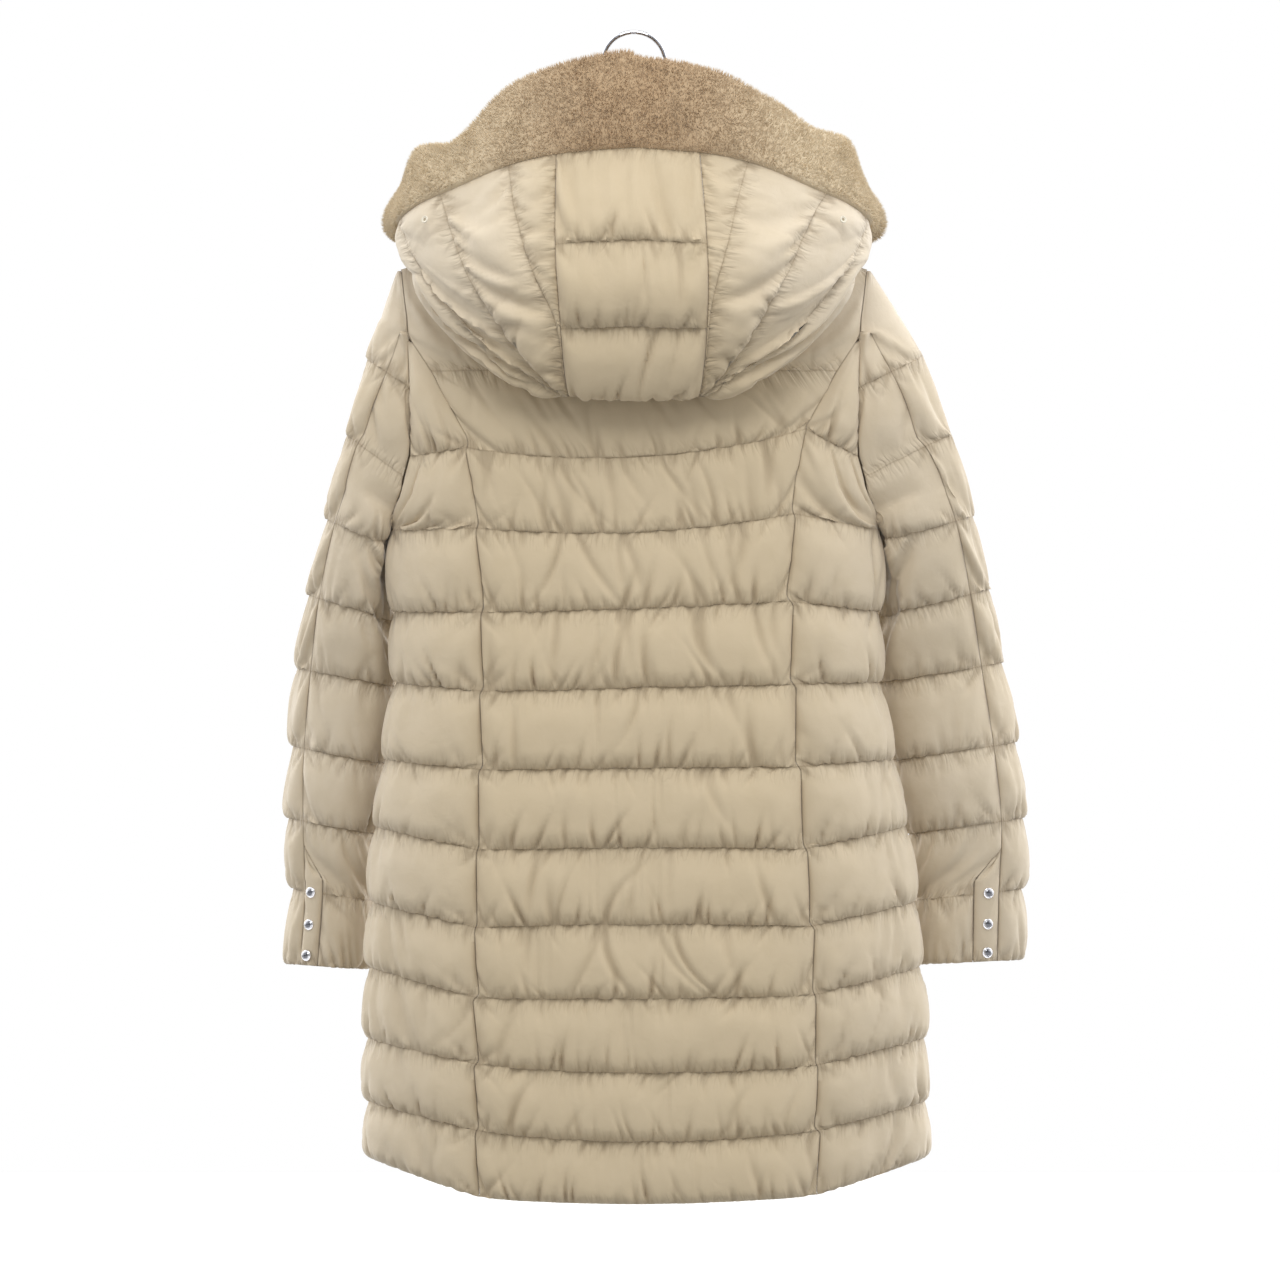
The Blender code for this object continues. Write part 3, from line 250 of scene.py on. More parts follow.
def shell_cloth():
    """The cloth's finish. Its colour greys towards the sides in soft patches, and pales over the
    shoulders and the hood's sides in a painted highlight. Painted shade darkens it beside the
    quilt lines, in creases, in the gathers' valleys and at the panels' edges in the seams, and
    the stitch lines are dark both as stitching and as painted shade. Its relief has a fine
    weave, small creases, gathers and stitches."""
    cloth = Finish("shell_cloth", roughness=0.72, sheen_weight=0.25, sheen_roughness=0.5)
    spot = cloth.place()
    flat = cloth.node("UVMap", {"uv_map": "cloth"})
    quilt, edge, crease = (cloth.measure(name) for name in ("quilt", "edge", "crease"))
    patches = cloth.cloud(spot, 4.0, 3.0)
    small = cloth.cloud(spot, 60.0, 4.0)
    gathers = cloth.cloud(cloth.stretched(flat, (120.0, 24.0, 1.0)), 1.0, 2.0, Distortion=0.4)
    gathers = abs(gathers - 0.5)
    gathered_here = 1 - quilt.band(0.002, 0.020)
    needle = 1 - quilt.band(0.0002, 0.0012)

    outside = abs(cloth.part(spot))
    grey = outside.band(0.10, 0.26) * (0.6 + 0.4 * patches.band(0.25, 0.70))
    # A painted highlight: the cloth pales over the shoulders and the hood's sides.
    shoulders = outside.band(0.05, 0.14) * cloth.part(spot, "Z").band(-0.33, -0.22)
    base = cloth.blend(grey, colour(196, 179, 149), colour(204, 190, 167))
    for share, tone in (
            # painted highlight over the shoulders and the hood's sides
            (shoulders * 0.4, colour(228, 217, 200)),
            (small.band(0.35, 0.75) * 0.20, colour(186, 169, 138)),
            # painted shade of the fold beside each quilt line
            ((1 - quilt.band(0.0, 0.006)) * 0.10, colour(176, 156, 124)),
            # painted shade in the creases, as deep as each crease
            (crease.band(0.08, 0.85) * 0.38, colour(126, 106, 80)),
            # painted shade in the valleys of the gathers near the quilt lines
            ((1 - gathers.band(0.0, 0.05)) * gathered_here * 0.22, colour(138, 118, 90)),
            # the stitch lines: dark as stitching and as painted shade in their groove
            (needle * 0.25, colour(128, 108, 82)),
            # painted shade in the seams, on each panel's last millimetre
            ((1 - edge.band(0.0001, 0.0010)) * 0.4, colour(104, 86, 64))):
        base = cloth.blend(share, base, tone)

    thread = (cloth.part(flat) * 2000.0).sine() * 0.5 + 0.5
    relief = cloth.relief(cloth.cloud(flat, 1500.0, 2.0), 0.00022, 0.35)
    for height, deep, strength in (
            (cloth.cloud(spot, 95.0, 4.0, Distortion=0.6), 0.0016, 0.30),
            (gathers * gathered_here, 0.0070, 0.7),
            (thread * needle, 0.0005, 0.5)):
        relief = cloth.relief(height, deep, strength, relief)
    cloth.give(base_color=base, roughness=0.66 + 0.16 * small, normal=relief)
    return cloth


shell = shell_cloth()


def stacked(first, second, third):
    return np.stack(np.broadcast_arrays(first, second, third), axis=-1)


def table(columns, *rows):
    """One array for each named column."""
    return dict(zip(columns.split(), np.array(rows, dtype=float).T))


def read(rows, column, at):
    """A table's column at these values of its first one, straight between its rows."""
    return np.interp(at, next(iter(rows.values())), rows[column])


def curve(before, start, end, after, part):
    """The smooth curve from start to end that leaves and arrives in line with the values
    before and after them."""
    leave = (end - before) / 2
    arrive = (after - start) / 2
    return (start * (2 * part**3 - 3 * part**2 + 1) + leave * (part**3 - 2 * part**2 + part)
            + end * (3 * part**2 - 2 * part**3) + arrive * (part**3 - part**2))


def through(values, at):
    """A smooth curve through evenly spaced values, read at fractional rows."""
    values = np.asarray(values, dtype=float)
    last = len(values) - 1
    at = np.clip(at, 0.0, last)
    low = np.clip(np.floor(at).astype(int), 0, last - 1)
    near = (values[np.clip(low + step, 0, last)] for step in (-1, 0, 1, 2))
    return curve(*near, at - low)


def unit(vectors):
    return vectors / np.maximum(np.linalg.norm(vectors, axis=-1, keepdims=True), 1e-9)


def normals(form, first, second, steps, hand=1):
    """Outward normals of a form, from small steps either way of its two coordinates."""
    one = form(first + steps[0], second) - form(first - steps[0], second)
    two = form(first, second + steps[1]) - form(first, second - steps[1])
    return hand * unit(np.cross(one, two))


def loft(across, along, crown, margin):
    """Wall thickness: thin on quilt lines and panel edges, full in the middle of a channel."""
    channel = np.abs(np.sin(np.pi * along)) ** 0.6
    inside = np.clip(np.minimum(across, 1 - across) / margin, 0.0, 1.0)
    edge = np.sin(np.pi / 2 * inside) ** 0.7
    return SEAM_WALL + (crown - SEAM_WALL) * channel * edge


def waves(seed, down, wide, cells):
    """Smooth noise from -1 to 1 over a grid: random values on a coarse lattice with so many
    cells down and across, joined by smooth steps."""
    tall = max(int(cells[0]), 1) + 1
    broad = max(int(cells[1]), 1) + 1
    knots = np.random.default_rng(seed).uniform(-1, 1, (tall + 1, broad + 1))
    row = np.clip(down, 0, 1) * (tall - 1)
    column = np.clip(wide, 0, 1) * (broad - 1)
    low = np.minimum(row.astype(int), tall - 1)
    left = np.minimum(column.astype(int), broad - 1)
    fall = row - low
    side = column - left
    fall = fall * fall * (3 - 2 * fall)
    side = side * side * (3 - 2 * side)
    upper = knots[low, left] * (1 - side) + knots[low, left + 1] * side
    lower = knots[low + 1, left] * (1 - side) + knots[low + 1, left + 1] * side
    return upper * (1 - fall) + lower * fall


PUSH = 0.000015               # a round's push outwards and its fall, in metres
SAG = 0.00003
DAMPING = 0.9                 # share of its last move that a point goes on with
SLANT_FIRM = 0.35             # how firmly diagonal threads hold, where the others have 1
STIFF = 0.0005                # how strongly its bends are smoothed
ROUNDS = 240


def draw_in(cloth, free, first, second, length, firm):
    """Moves the two ends of each thread towards its own length."""
    gap = cloth[second] - cloth[first]
    now = np.sqrt((gap * gap).sum(-1))
    one = free[first]
    two = free[second]
    share = firm * (now - length) / np.maximum(now * (one + two), 1e-9)
    gap *= share[..., None]
    cloth[first] += gap * one[..., None]
    cloth[second] -= gap * two[..., None]


def settle(start, wide, tall, free, push, hand):
    """The cloth after its rounds of blowing up and sagging: each round moves it on, pushes
    it outwards along its normals, then draws every thread to its length, across, down and on
    both diagonals, and last smooths its bends."""
    cloth = start.astype(np.float32)
    before = cloth.copy()
    free = free.astype(np.float32)
    wide = wide.astype(np.float32)
    tall = tall.astype(np.float32)
    push = push.astype(np.float32)[..., None]
    slant = np.hypot((wide[:-1] + wide[1:]) / 2, (tall[:, :-1] + tall[:, 1:]) / 2)
    facing = np.zeros_like(cloth)
    height, width = free.shape
    sag = np.array([0, 0, -SAG], np.float32)

    def bends(grid):
        """Four times how far each inner point lies from the middle of its neighbours."""
        made = np.zeros_like(grid)
        made[1:-1, 1:-1] = (grid[1:-1, :-2] + grid[1:-1, 2:] + grid[:-2, 1:-1] + grid[2:, 1:-1]
                            - 4 * grid[1:-1, 1:-1])
        return made

    def pairs(count, first):
        """Every second point's slice from the first, and that of the points after them."""
        last = first + (count - first) // 2 * 2
        return slice(first, last - 1, 2), slice(first + 1, last, 2)

    for turn in range(ROUNDS):
        if turn % 5 == 0:
            over = cloth[:, 2:] - cloth[:, :-2]
            down = cloth[2:] - cloth[:-2]
            facing[1:-1, 1:-1] = hand * unit(np.cross(down[:, 1:-1], over[1:-1]))
        move = (cloth - before) * DAMPING
        before = cloth.copy()
        cloth += (move + facing * push + sag) * free[..., None]
        for first in (0, 1):
            left, right = pairs(width, first)
            draw_in(cloth, free, (slice(None), left), (slice(None), right), wide[:, left], 1.0)
            above, below = pairs(height, first)
            draw_in(cloth, free, (above,), (below,), tall[above], 1.0)
        for first in (0, 1):
            left, right = pairs(width, first)
            for second in (0, 1):
                above, below = pairs(height, second)
                for here, there in ((left, right), (right, left)):
                    draw_in(cloth, free, (above, here), (below, there), slant[above, left],
                            SLANT_FIRM)
        cloth -= bends(bends(cloth)) * (STIFF * free)[..., None]
    return cloth.astype(float)


FULLNESS = 0.035              # extra cloth across a channel
GATHER = 0.12                 # extra cloth along a quilt line
GATHER_REACH = 0.009          # how far from the line it has mostly gone
SLACK = 0.02                  # extra cloth down a channel
EDGE_CALM = 0.035             # how far from a panel's edge that comes in
WOBBLE = 0.010                # of a channel: how far a quilt line strays
START_RISE = 0.72             # where the cloth starts, of its wall over the seam's
RUMPLE = 0.0006               # how unevenly it starts
LEAST_RISE = SEAM_WALL * 0.8
MOST_RISE = (1.35, 0.0008)    # the most it rises, of its wall over the seam's, and as well
MOST_CROWN = (1.08, 0.0003)   # the most it rises, of its crown, and as well
CROWDING = 0.30               # how much closer rows of points stand at the quilt lines
EVERY = 3                     # the inside has a point for so many outside


def quilt_rows(lines, cells):
    """Rows of points, closer together at the quilt lines than between them."""
    cells = np.broadcast_to(cells, len(lines) - 1)
    rows = [lines[0]]
    for low, high, count in zip(lines[:-1], lines[1:], cells):
        step = np.arange(1, count + 1) / count
        crowd = CROWDING * np.sin(2 * np.pi * step) / (2 * np.pi)
        rows += list(low + (high - low) * (step - crowd))
    return np.array(rows)


REACH = 0.075                 # how far a crease may run from its quilt line
SPACING = 0.0098              # usual run along the line from one crease to the next
LONG = {-1: 0.017, 1: 0.010}  # usual length above the line and below it
SLANT = {-1: 0.25, 1: -0.05}  # usual slant above the line and below it
SWERVE = 4.0                  # how much a crease may bend

# Each kind of crease: its ranges of length (of the usual one, for a short crease), width and
# depth.
SHORT_FOLD = ((0.4, 1.7), (0.0018, 0.0032), (0.30, 1.0))
CORNER_FOLD = ((0.008, 0.018), (0.0018, 0.0030), (0.3, 0.8))
LONG_FOLD = ((0.030, 0.070), (0.0026, 0.0050), (0.30, 0.70))


def gathered(seed, over, down, levels, long_folds):
    """How much of its rise the cloth keeps. Each quilt line throws short creases into the
    channels above and below it, longer into the one above, and more at the panel's corners.
    A crease is a narrow trough that starts on the line, slants, and fades along its length:
    one minus its depth times a bell across it and a bell along it."""
    draw = np.random.default_rng(seed)
    kept = np.ones_like(over)
    width = over.max()

    def fold(spot, slant, kind, scale=1.0):
        length, narrow, deep = (draw.uniform(*limits) for limits in kind)
        return spot, slant, scale * length, narrow, deep

    for number, level in enumerate(levels):
        for side in (-1, 1):
            off = side * (down - level)
            there = (off > -1e-6) & (off < REACH)
            rows = np.nonzero(there.any(axis=1))[0]
            if not len(rows):
                continue
            part = slice(rows[0], rows[-1] + 1)
            out = np.where(there[part], off[part], 1.0)
            spot = draw.uniform(0, SPACING)
            folds = []
            while spot < width:
                folds.append(fold(spot, draw.normal(SLANT[side], 0.30), SHORT_FOLD, LONG[side]))
                spot += SPACING * draw.uniform(0.45, 1.7)
            for corner, way in ((0.0, 1), (width, -1)):
                for _ in range(2):
                    folds.append(fold(corner + way * draw.uniform(-0.002, 0.004),
                                      way * draw.uniform(0.3, 1.4), CORNER_FOLD))
            many = np.interp(number, (4, 6), long_folds) * width / 0.1
            for _ in range(draw.poisson(many)):
                folds.append(fold(draw.uniform(0, width), draw.normal(0.10, 0.16), LONG_FOLD))
            for spot, slant, length, narrow, deep in folds:
                path = spot + slant * out + draw.normal(0, SWERVE) * out**2
                aside = (over[part] - path) / math.hypot(1, slant) / narrow
                kept[part] *= 1 - deep * np.exp(-aside**2 - (out / length) ** 2)
    return kept


def quads(number):
    """Four-sided faces of a grid of point numbers."""
    return np.stack([number[:-1, :-1], number[1:, :-1], number[1:, 1:], number[:-1, 1:]], -1)


def rim_cells(kept, number, inner):
    """Cells that join outside and inside wherever a kept cell has none beside it."""
    faces = []
    wall = np.pad(kept, 1)
    for up, over, first, second in ((1, 0, (0, 0), (0, 1)), (-1, 0, (1, 1), (1, 0)),
                                    (0, 1, (1, 0), (0, 0)), (0, -1, (0, 1), (1, 1))):
        row, column = np.nonzero(kept & ~np.roll(wall, (up, over), (0, 1))[1:-1, 1:-1])
        start = (row + first[0], column + first[1])
        end = (row + second[0], column + second[1])
        faces += np.stack([number[start], number[end], inner[end], inner[start]], -1).tolist()
    return faces


def closed_shell(shape, every, kept):
    """Faces of one closed shell: the outside's cells, the inside's coarser ones turned the
    other way, and the rim that joins the two."""
    number = np.arange(shape[0] * shape[1]).reshape(shape)
    coarse = number[::every, ::every].shape
    inner = number.size + np.arange(coarse[0] * coarse[1]).reshape(coarse)
    faces = quads(number)[kept].tolist()
    faces += quads(inner)[kept[::every, ::every]][:, [0, 3, 2, 1]].tolist()
    if every == 1:
        return faces + rim_cells(kept, number, inner)
    for outer, ends in ((number[0], inner[0]), (number[-1], inner[-1]),
                        (number[:, 0], inner[:, 0]), (number[:, -1], inner[:, -1])):
        groups = [outer[step:len(outer) - every + step:every] for step in range(every)]
        faces += np.stack(groups + [outer[every::every], ends[1:], ends[:-1]], -1).tolist()
    return faces


def quilted(name, form, steps, place, wall, crown, columns, rows, hand=1, lean=None, seed=0,
            every=EVERY, left_out=None, lines=None, long_folds=(0.5, 0.3),
            shift=0.006):
    """A padded panel as one closed shell. The inside is the form itself. The outside starts a
    wall's thickness out, settles between the quilt lines and edges, which are pinned, and stays
    between the least rise and a little over the crown. The wall is a function of the panel, or
    the margin over which a plain loft rises from its edges. The columns are shares of its width,
    or how many there are."""
    if isinstance(columns, int):
        columns = np.linspace(0, 1, columns)
    across, along = np.meshgrid(columns, rows)
    if lines is None:
        lines = np.arange(math.floor(rows[0]), math.ceil(rows[-1]) + 1)
    lines = np.asarray(lines, dtype=float)
    nearest = lines[np.argmin(np.abs(along[..., None] - lines), axis=-1)]
    stray = WOBBLE * waves(seed + 11, nearest * 0.37 % 1.0, across, (40, 26))
    stray = stray * np.clip(np.minimum(across, 1 - across) / 0.05, 0, 1)
    stray = stray * np.clip(along - rows[0], 0, 1) * (nearest > rows[0] + 0.01)
    first, second = place(across, along + stray)
    inside = form(first, second)
    outward = normals(form, first, second, steps, hand)
    if lean is not None:
        leaning, share = lean(first, second)
        outward = unit(outward * (1 - share) + leaning * share)
    full = crown(across, along) if callable(crown) else np.full(across.shape, crown)
    thick = wall(across, along) if callable(wall) else loft(across, along, full, wall)
    ease = np.clip((full - SEAM_WALL) / (BODY_LOFT - SEAM_WALL), 0.05, 1.0)
    pinned = thick < SEAM_WALL + 1e-5

    # The cloth's own measures along the puffed wall, and what is added to them.
    puffed = inside + outward * thick[..., None]
    wide = np.linalg.norm(np.diff(puffed, axis=1), axis=-1)
    tall = np.linalg.norm(np.diff(puffed, axis=0), axis=-1)
    down = np.vstack([np.zeros(across.shape[1]), np.cumsum(tall, axis=0)])
    over = np.hstack([np.zeros((across.shape[0], 1)), np.cumsum(wide, axis=1)])
    at_line = [down[np.argmin(np.abs(rows - line))] for line in lines
               if rows[0] - 0.01 <= line <= rows[-1] + 0.01]
    quilt = np.min([np.abs(down - level) for level in at_line], axis=0)
    edge = np.minimum(over, over[:, -1:] - over)
    down_share = along / rows[-1]
    grain = waves(seed + 1, down_share, across, (rows[-1] * 1.5, 9))
    loose = 1 + ease * (FULLNESS * (1 + 0.6 * grain) + GATHER * np.exp(-quilt / GATHER_REACH))
    calm = ease * (0.2 + 0.8 * np.clip(edge / EDGE_CALM, 0, 1))
    slack = 1 + calm * SLACK * (1 + waves(seed + 2, down_share, across, (rows[-1], 7)))
    stir = waves(seed + 3, down_share, across, (rows[-1] * 1.3, 11))
    push = PUSH * (0.35 + 0.65 * ease) * (1 + 0.7 * stir)

    # It starts a little rumpled, blows up and settles.
    kick = np.random.default_rng(seed + 4).normal(0, 1, across.shape)
    kick = (kick + np.roll(kick, 1, 0) + np.roll(kick, 2, 0) + np.roll(kick, -1, 0)) / 2
    rise = SEAM_WALL + (thick - SEAM_WALL) * START_RISE + RUMPLE * ease * kick * ~pinned
    start = inside + outward * rise[..., None]
    ahead = np.cross(start[2:, 1:-1] - start[:-2, 1:-1], start[1:-1, 2:] - start[1:-1, :-2])
    turn = 1 if (ahead * outward[1:-1, 1:-1]).sum() > 0 else -1
    outside = settle(start, wide * (loose[:, 1:] + loose[:, :-1]) / 2,
                     tall * (slack[1:] + slack[:-1]) / 2, ~pinned, push, turn)

    # Its rise is held under the most and creased, and its slide along the form is held short.
    lift = ((outside - inside) * outward).sum(-1)
    slide = outside - inside - outward * lift[..., None]
    most = np.minimum(SEAM_WALL + (thick - SEAM_WALL) * MOST_RISE[0] + MOST_RISE[1],
                      full * MOST_CROWN[0] + MOST_CROWN[1])
    lift = np.maximum(lift, LEAST_RISE)
    lift = lift / (1 + (lift / most) ** 8) ** 0.125
    broad = np.clip((full - SEAM_WALL) / 0.004, 0.1, 1.0)
    smooth = 1 - (1 - gathered(seed + 5, over, down, at_line, long_folds)) * broad
    lift = np.where(pinned, SEAM_WALL, LEAST_RISE + (lift - LEAST_RISE) * smooth)
    reach = np.linalg.norm(slide, axis=-1, keepdims=True)
    slide = slide / (1 + reach / (shift * broad[..., None]))
    outside = inside + outward * lift[..., None] + slide

    def both(values):
        """Values of the outside's points, then of the inside's."""
        size = values.size // across.size
        return np.concatenate([part.reshape(-1, size) for part in
                               (values, values[::every, ::every])])

    kept = np.ones((across.shape[0] - 1, across.shape[1] - 1), bool)
    if left_out is not None:
        kept &= ~left_out(across[:-1, :-1], along[:-1, :-1])
    points = np.concatenate([outside.reshape(-1, 3), inside[::every, ::every].reshape(-1, 3)])
    sewn(f"{name}_quilted", points, closed_shell(across.shape, every, kept), shell,
         {"quilt": both(quilt), "edge": both(edge), "crease": both(1 - smooth)},
         both(np.stack([over, down], -1)), [name])


MERGE = 2e-6                  # points closer than this become one
SHARP = math.radians(70)


def sewn(name, points, faces, finish, shares=None, flat=None, nodes=None):
    """A finished piece from its points and faces: doubles merged, faces turned outwards, with its
    finish, its flat cloth coordinates and its measures from the seams. It rides on the coat and
    stands for the nodes."""
    mesh = bpy.data.meshes.new(name)
    mesh.from_pydata(points.tolist(), [], faces)
    for word, value in (shares or {}).items():
        mesh.attributes.new(word, "FLOAT", "POINT").data.foreach_set("value", value.ravel())
    if flat is not None:
        corner = np.empty(len(mesh.loops), dtype=np.int32)
        mesh.loops.foreach_get("vertex_index", corner)
        mesh.uv_layers.new(name="cloth").data.foreach_set("uv", flat[corner].ravel())
    tidy = bmesh.new()
    tidy.from_mesh(mesh)
    bmesh.ops.remove_doubles(tidy, verts=tidy.verts, dist=MERGE)
    bmesh.ops.dissolve_degenerate(tidy, edges=tidy.edges, dist=MERGE)
    bmesh.ops.delete(tidy, geom=[point for point in tidy.verts if not point.link_faces],
                     context="VERTS")
    bmesh.ops.recalc_face_normals(tidy, faces=tidy.faces)
    tidy.to_mesh(mesh)
    tidy.free()
    mesh.materials.append(finish.material)
    mesh.shade_smooth()
    mesh.set_sharp_from_angle(angle=SHARP)
    piece = bpy.data.objects.new(name, mesh)
    scene.collection.objects.link(piece)
    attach(piece, "root")
    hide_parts(*nodes)


# ---------------------------------------------------------------- The body
# A back with its yoke, two back side panels and two fronts, each quilted in level channels,
# and a padded front placket. The seams between them are pulled tight at every quilt line.

SIDES = {"left": 1, "right": -1}    # the wearer's, and their way along x
SECTION_POWER = 2.4        # superellipse power of the body's level sections
SHOULDER_APEX = 0.1535     # drop of the shoulder line, carried on to the middle
SHOULDER_SLOPE = 0.288
SHOULDER_ROUND = 0.110     # drop over which the body reaches its full depth
SHOULDER_HALF = 0.209      # middle to shoulder point
SHOULDER_GAP = 0.00001     # shoulder seam below the shoulder line
NECK_HALF = 0.085
NECK_BACK_DROP = 0.184
NECK_FRONT_DEEP = 0.072    # how far the front neck scoops below the shoulder
SIDE_SEAM_ANGLE = 100.0    # round the body from the centre back, degrees
PLACKET_HALF = 0.021
PLACKET_WALL = 0.0075
PINCH = 0.0026             # how far a princess seam jogs at a quilt line
BODY_MARGIN = 0.12         # of a panel's width: how far in its puff is full
SIDE_MARGIN = 0.24

# Half widths and depths of the body's plain inside at each drop, with the sway of its middle.
BODY = table(
    "drop  half   back   front  sway",
    (0.15, 0.222, 0.060, 0.056, 0.0000),
    (0.40, 0.221, 0.060, 0.056, 0.0000),
    (0.45, 0.217, 0.060, 0.055, -0.0010),
    (0.52, 0.215, 0.060, 0.055, -0.0020),
    (0.58, 0.214, 0.061, 0.056, -0.0030),
    (0.64, 0.224, 0.063, 0.058, -0.0045),
    (0.71, 0.235, 0.066, 0.061, -0.0060),
    (0.78, 0.242, 0.069, 0.064, -0.0085),
    (0.91, 0.248, 0.074, 0.068, -0.0110),
    (1.06, 0.247, 0.078, 0.070, -0.0125),
)

# The armhole's edge: angle round the body from the centre back, at drops of the panels' rows.
ARMHOLE = table(
    "drop    back   front",
    (0.2137, 68.4, 111.6),
    (0.2580, 64.0, 116.5),
    (0.3020, 62.0, 119.5),
    (0.3800, 62.4, 119.0),
    (0.4130, 68.5, 114.0),
    (0.4368, 83.0, 107.0),
    (0.4460, 100.0, 100.0),
)

# The princess seam: its distance from the middle at each drop.
PRINCESS = table(
    "drop   half",
    (0.277, 0.1990),
    (0.307, 0.1795),
    (0.334, 0.1650),
    (0.362, 0.1510),
    (0.400, 0.1450),
    (0.440, 0.1415),
    (0.500, 0.1375),
    (0.580, 0.1390),
    (0.660, 0.1420),
    (0.790, 0.1500),
    (0.920, 0.1520),
    (1.060, 0.1520),
)

# Quilt lines across the back panel, from the yoke to the hem: drops at its left edge, its
# middle and its right edge.
BACK_LINES = table(
    "left    middle  right",
    (0.3040, 0.3020, 0.3040),
    (0.3726, 0.3807, 0.3560),
    (0.4446, 0.4482, 0.4320),
    (0.5202, 0.5166, 0.5103),
    (0.5913, 0.5877, 0.5850),
    (0.6615, 0.6597, 0.6588),
    (0.7335, 0.7308, 0.7326),
    (0.8028, 0.7992, 0.8019),
    (0.8658, 0.8658, 0.8631),
    (0.9252, 0.9324, 0.9261),
    (0.9846, 0.9936, 0.9846),
    (1.0440, 1.0490, 1.0420),
)

# Drops of the quilt lines at the panels' edges, from the first row's top: a back side panel's
# outer edge, a front's edge at the side, and its edge at the placket.
EDGE_LINES = table(
    "row    back    front   placket",
    (0.70, 0.2775, 0.3020, 0.3250),
    (1.00, 0.3040, 0.3020, 0.3250),
    (2.00, 0.3800, 0.3800, 0.3860),
    (3.00, 0.4460, 0.4460, 0.4500),
    (4.00, 0.5193, 0.5193, 0.5150),
    (5.00, 0.5832, 0.5832, 0.5800),
    (6.00, 0.6525, 0.6525, 0.6500),
    (7.00, 0.7128, 0.7128, 0.7120),
    (8.00, 0.7803, 0.7803, 0.7780),
    (9.00, 0.8388, 0.8388, 0.8380),
    (10.0, 0.9027, 0.9027, 0.9000),
    (11.0, 0.9594, 0.9594, 0.9560),
    (12.0, 1.0098, 1.0098, 1.0040),
)
SIDE_TOP = EDGE_LINES["row"][0]
HEM_ROW = 12
CURVE_TOP = 0.20              # a drop that leads the back's edges into their first line
SIDE_WIDE = 0.12              # about how wide the panels are, for the seam's share
FRONT_WIDE = 0.20

BODY_STEPS = (0.4, 0.0006)    # degrees and metres between points that give a normal


def shoulder_drop(x):
    return SHOULDER_APEX + SHOULDER_SLOPE * np.abs(x)


def body_point(angle, drop):
    """A point of the body's inside face. The angle runs round from the centre back, plus to the
    left and minus to the right. A level section is a superellipse that closes at the shoulder."""
    sine = np.sin(np.radians(angle))
    cosine = np.cos(np.radians(angle))
    back = cosine >= 0
    deep = np.where(back, read(BODY, "back", drop), read(BODY, "front", drop))
    x = read(BODY, "half", drop) * np.sign(sine) * np.abs(sine) ** (2 / SECTION_POWER)
    below = np.clip((drop - shoulder_drop(x)) / SHOULDER_ROUND, 0.0, 1.0)
    rounded = np.sqrt(1 - (1 - below) ** 2)
    y = deep * np.abs(cosine) ** (2 / SECTION_POWER) * rounded + SEAM_GAP / 2
    return stacked(x + read(BODY, "sway", drop), np.where(back, y, -y), -drop)


def angle_at(x, drop):
    """The angle of a point of the back at a distance from the middle."""
    share = np.clip(np.abs(x) / read(BODY, "half", drop), 0.0, 1.0) ** (SECTION_POWER / 2)
    return np.sign(x) * np.degrees(np.arcsin(share))


def back_top(x):
    """The back's top edge: the neck in the middle, and the shoulder seams."""
    neck = NECK_BACK_DROP - (NECK_BACK_DROP - shoulder_drop(NECK_HALF)) * (x / NECK_HALF) ** 4
    return np.where(np.abs(x) < NECK_HALF, neck + SEAM_GAP, shoulder_drop(x) + SHOULDER_GAP)


def front_top(x):
    scoop = np.clip(1 - (x / NECK_HALF) ** 2, 0.0, 1.0)
    neck = shoulder_drop(NECK_HALF) + NECK_FRONT_DEEP * scoop
    return np.where(np.abs(x) < NECK_HALF, neck + SEAM_GAP, shoulder_drop(x) + SHOULDER_GAP)


def inset(across, width):
    """Across a panel, with half a seam gap left at each edge."""
    share = SEAM_GAP / 2 / width
    return share + (1 - 2 * share) * across


def pinch(row, side):
    """The princess seam's jog: it swings one way above a quilt line and the other way below,
    by a different amount at each line."""
    amount = np.random.default_rng({"left": 5, "right": 6}[side]).uniform(0.5, 1.3, HEM_ROW + 2)
    line = np.round(row)
    part = row - line
    swing = np.tanh(part / 0.045) * (1 - np.abs(part) * 2)
    line = np.clip(line, 0, HEM_ROW + 1).astype(int)
    return PINCH * amount[line] * swing * np.clip(row - 1.2, 0, 1)


def row_ends(side, row):
    """Drop and distance from the middle of the back panel's edge, on one side, in each row."""
    drop = through(np.append(CURVE_TOP, BACK_LINES[side]), row)
    top = back_top(SHOULDER_HALF)
    drop = np.where(row < 1.0, top + (BACK_LINES[side][0] - top) * row, drop)
    armhole = body_point(read(ARMHOLE, "back", drop), drop)[..., 0]
    seam = np.minimum(read(PRINCESS, "half", drop) + pinch(row, side), armhole)
    edge = np.where(drop < PRINCESS["drop"][0], armhole, seam)
    return drop, np.where(row < 0.001, SHOULDER_HALF, edge)


def back_place(across, row):
    """The back centre panel: between the armholes above, and the princess seams below."""
    left_drop, left_x = row_ends("left", row)
    right_drop, right_x = row_ends("right", row)
    side = 1 - 2 * inset(across, left_x + right_x)
    x = (left_x + right_x) / 2 * side + (left_x - right_x) / 2
    middle = through(np.append(CURVE_TOP, BACK_LINES["middle"]), np.maximum(row, 1.0))
    first = np.clip(row, 0.0, 1.0)
    left_drop = np.where(row < 1.0, BACK_LINES["left"][0], left_drop)
    right_drop = np.where(row < 1.0, BACK_LINES["right"][0], right_drop)
    bend = middle - (left_drop + right_drop) / 2
    drop = middle + (left_drop - right_drop) / 2 * side - bend * side**2
    drop = back_top(SHOULDER_HALF * side) * (1 - first) + drop * first
    return angle_at(x, drop), drop


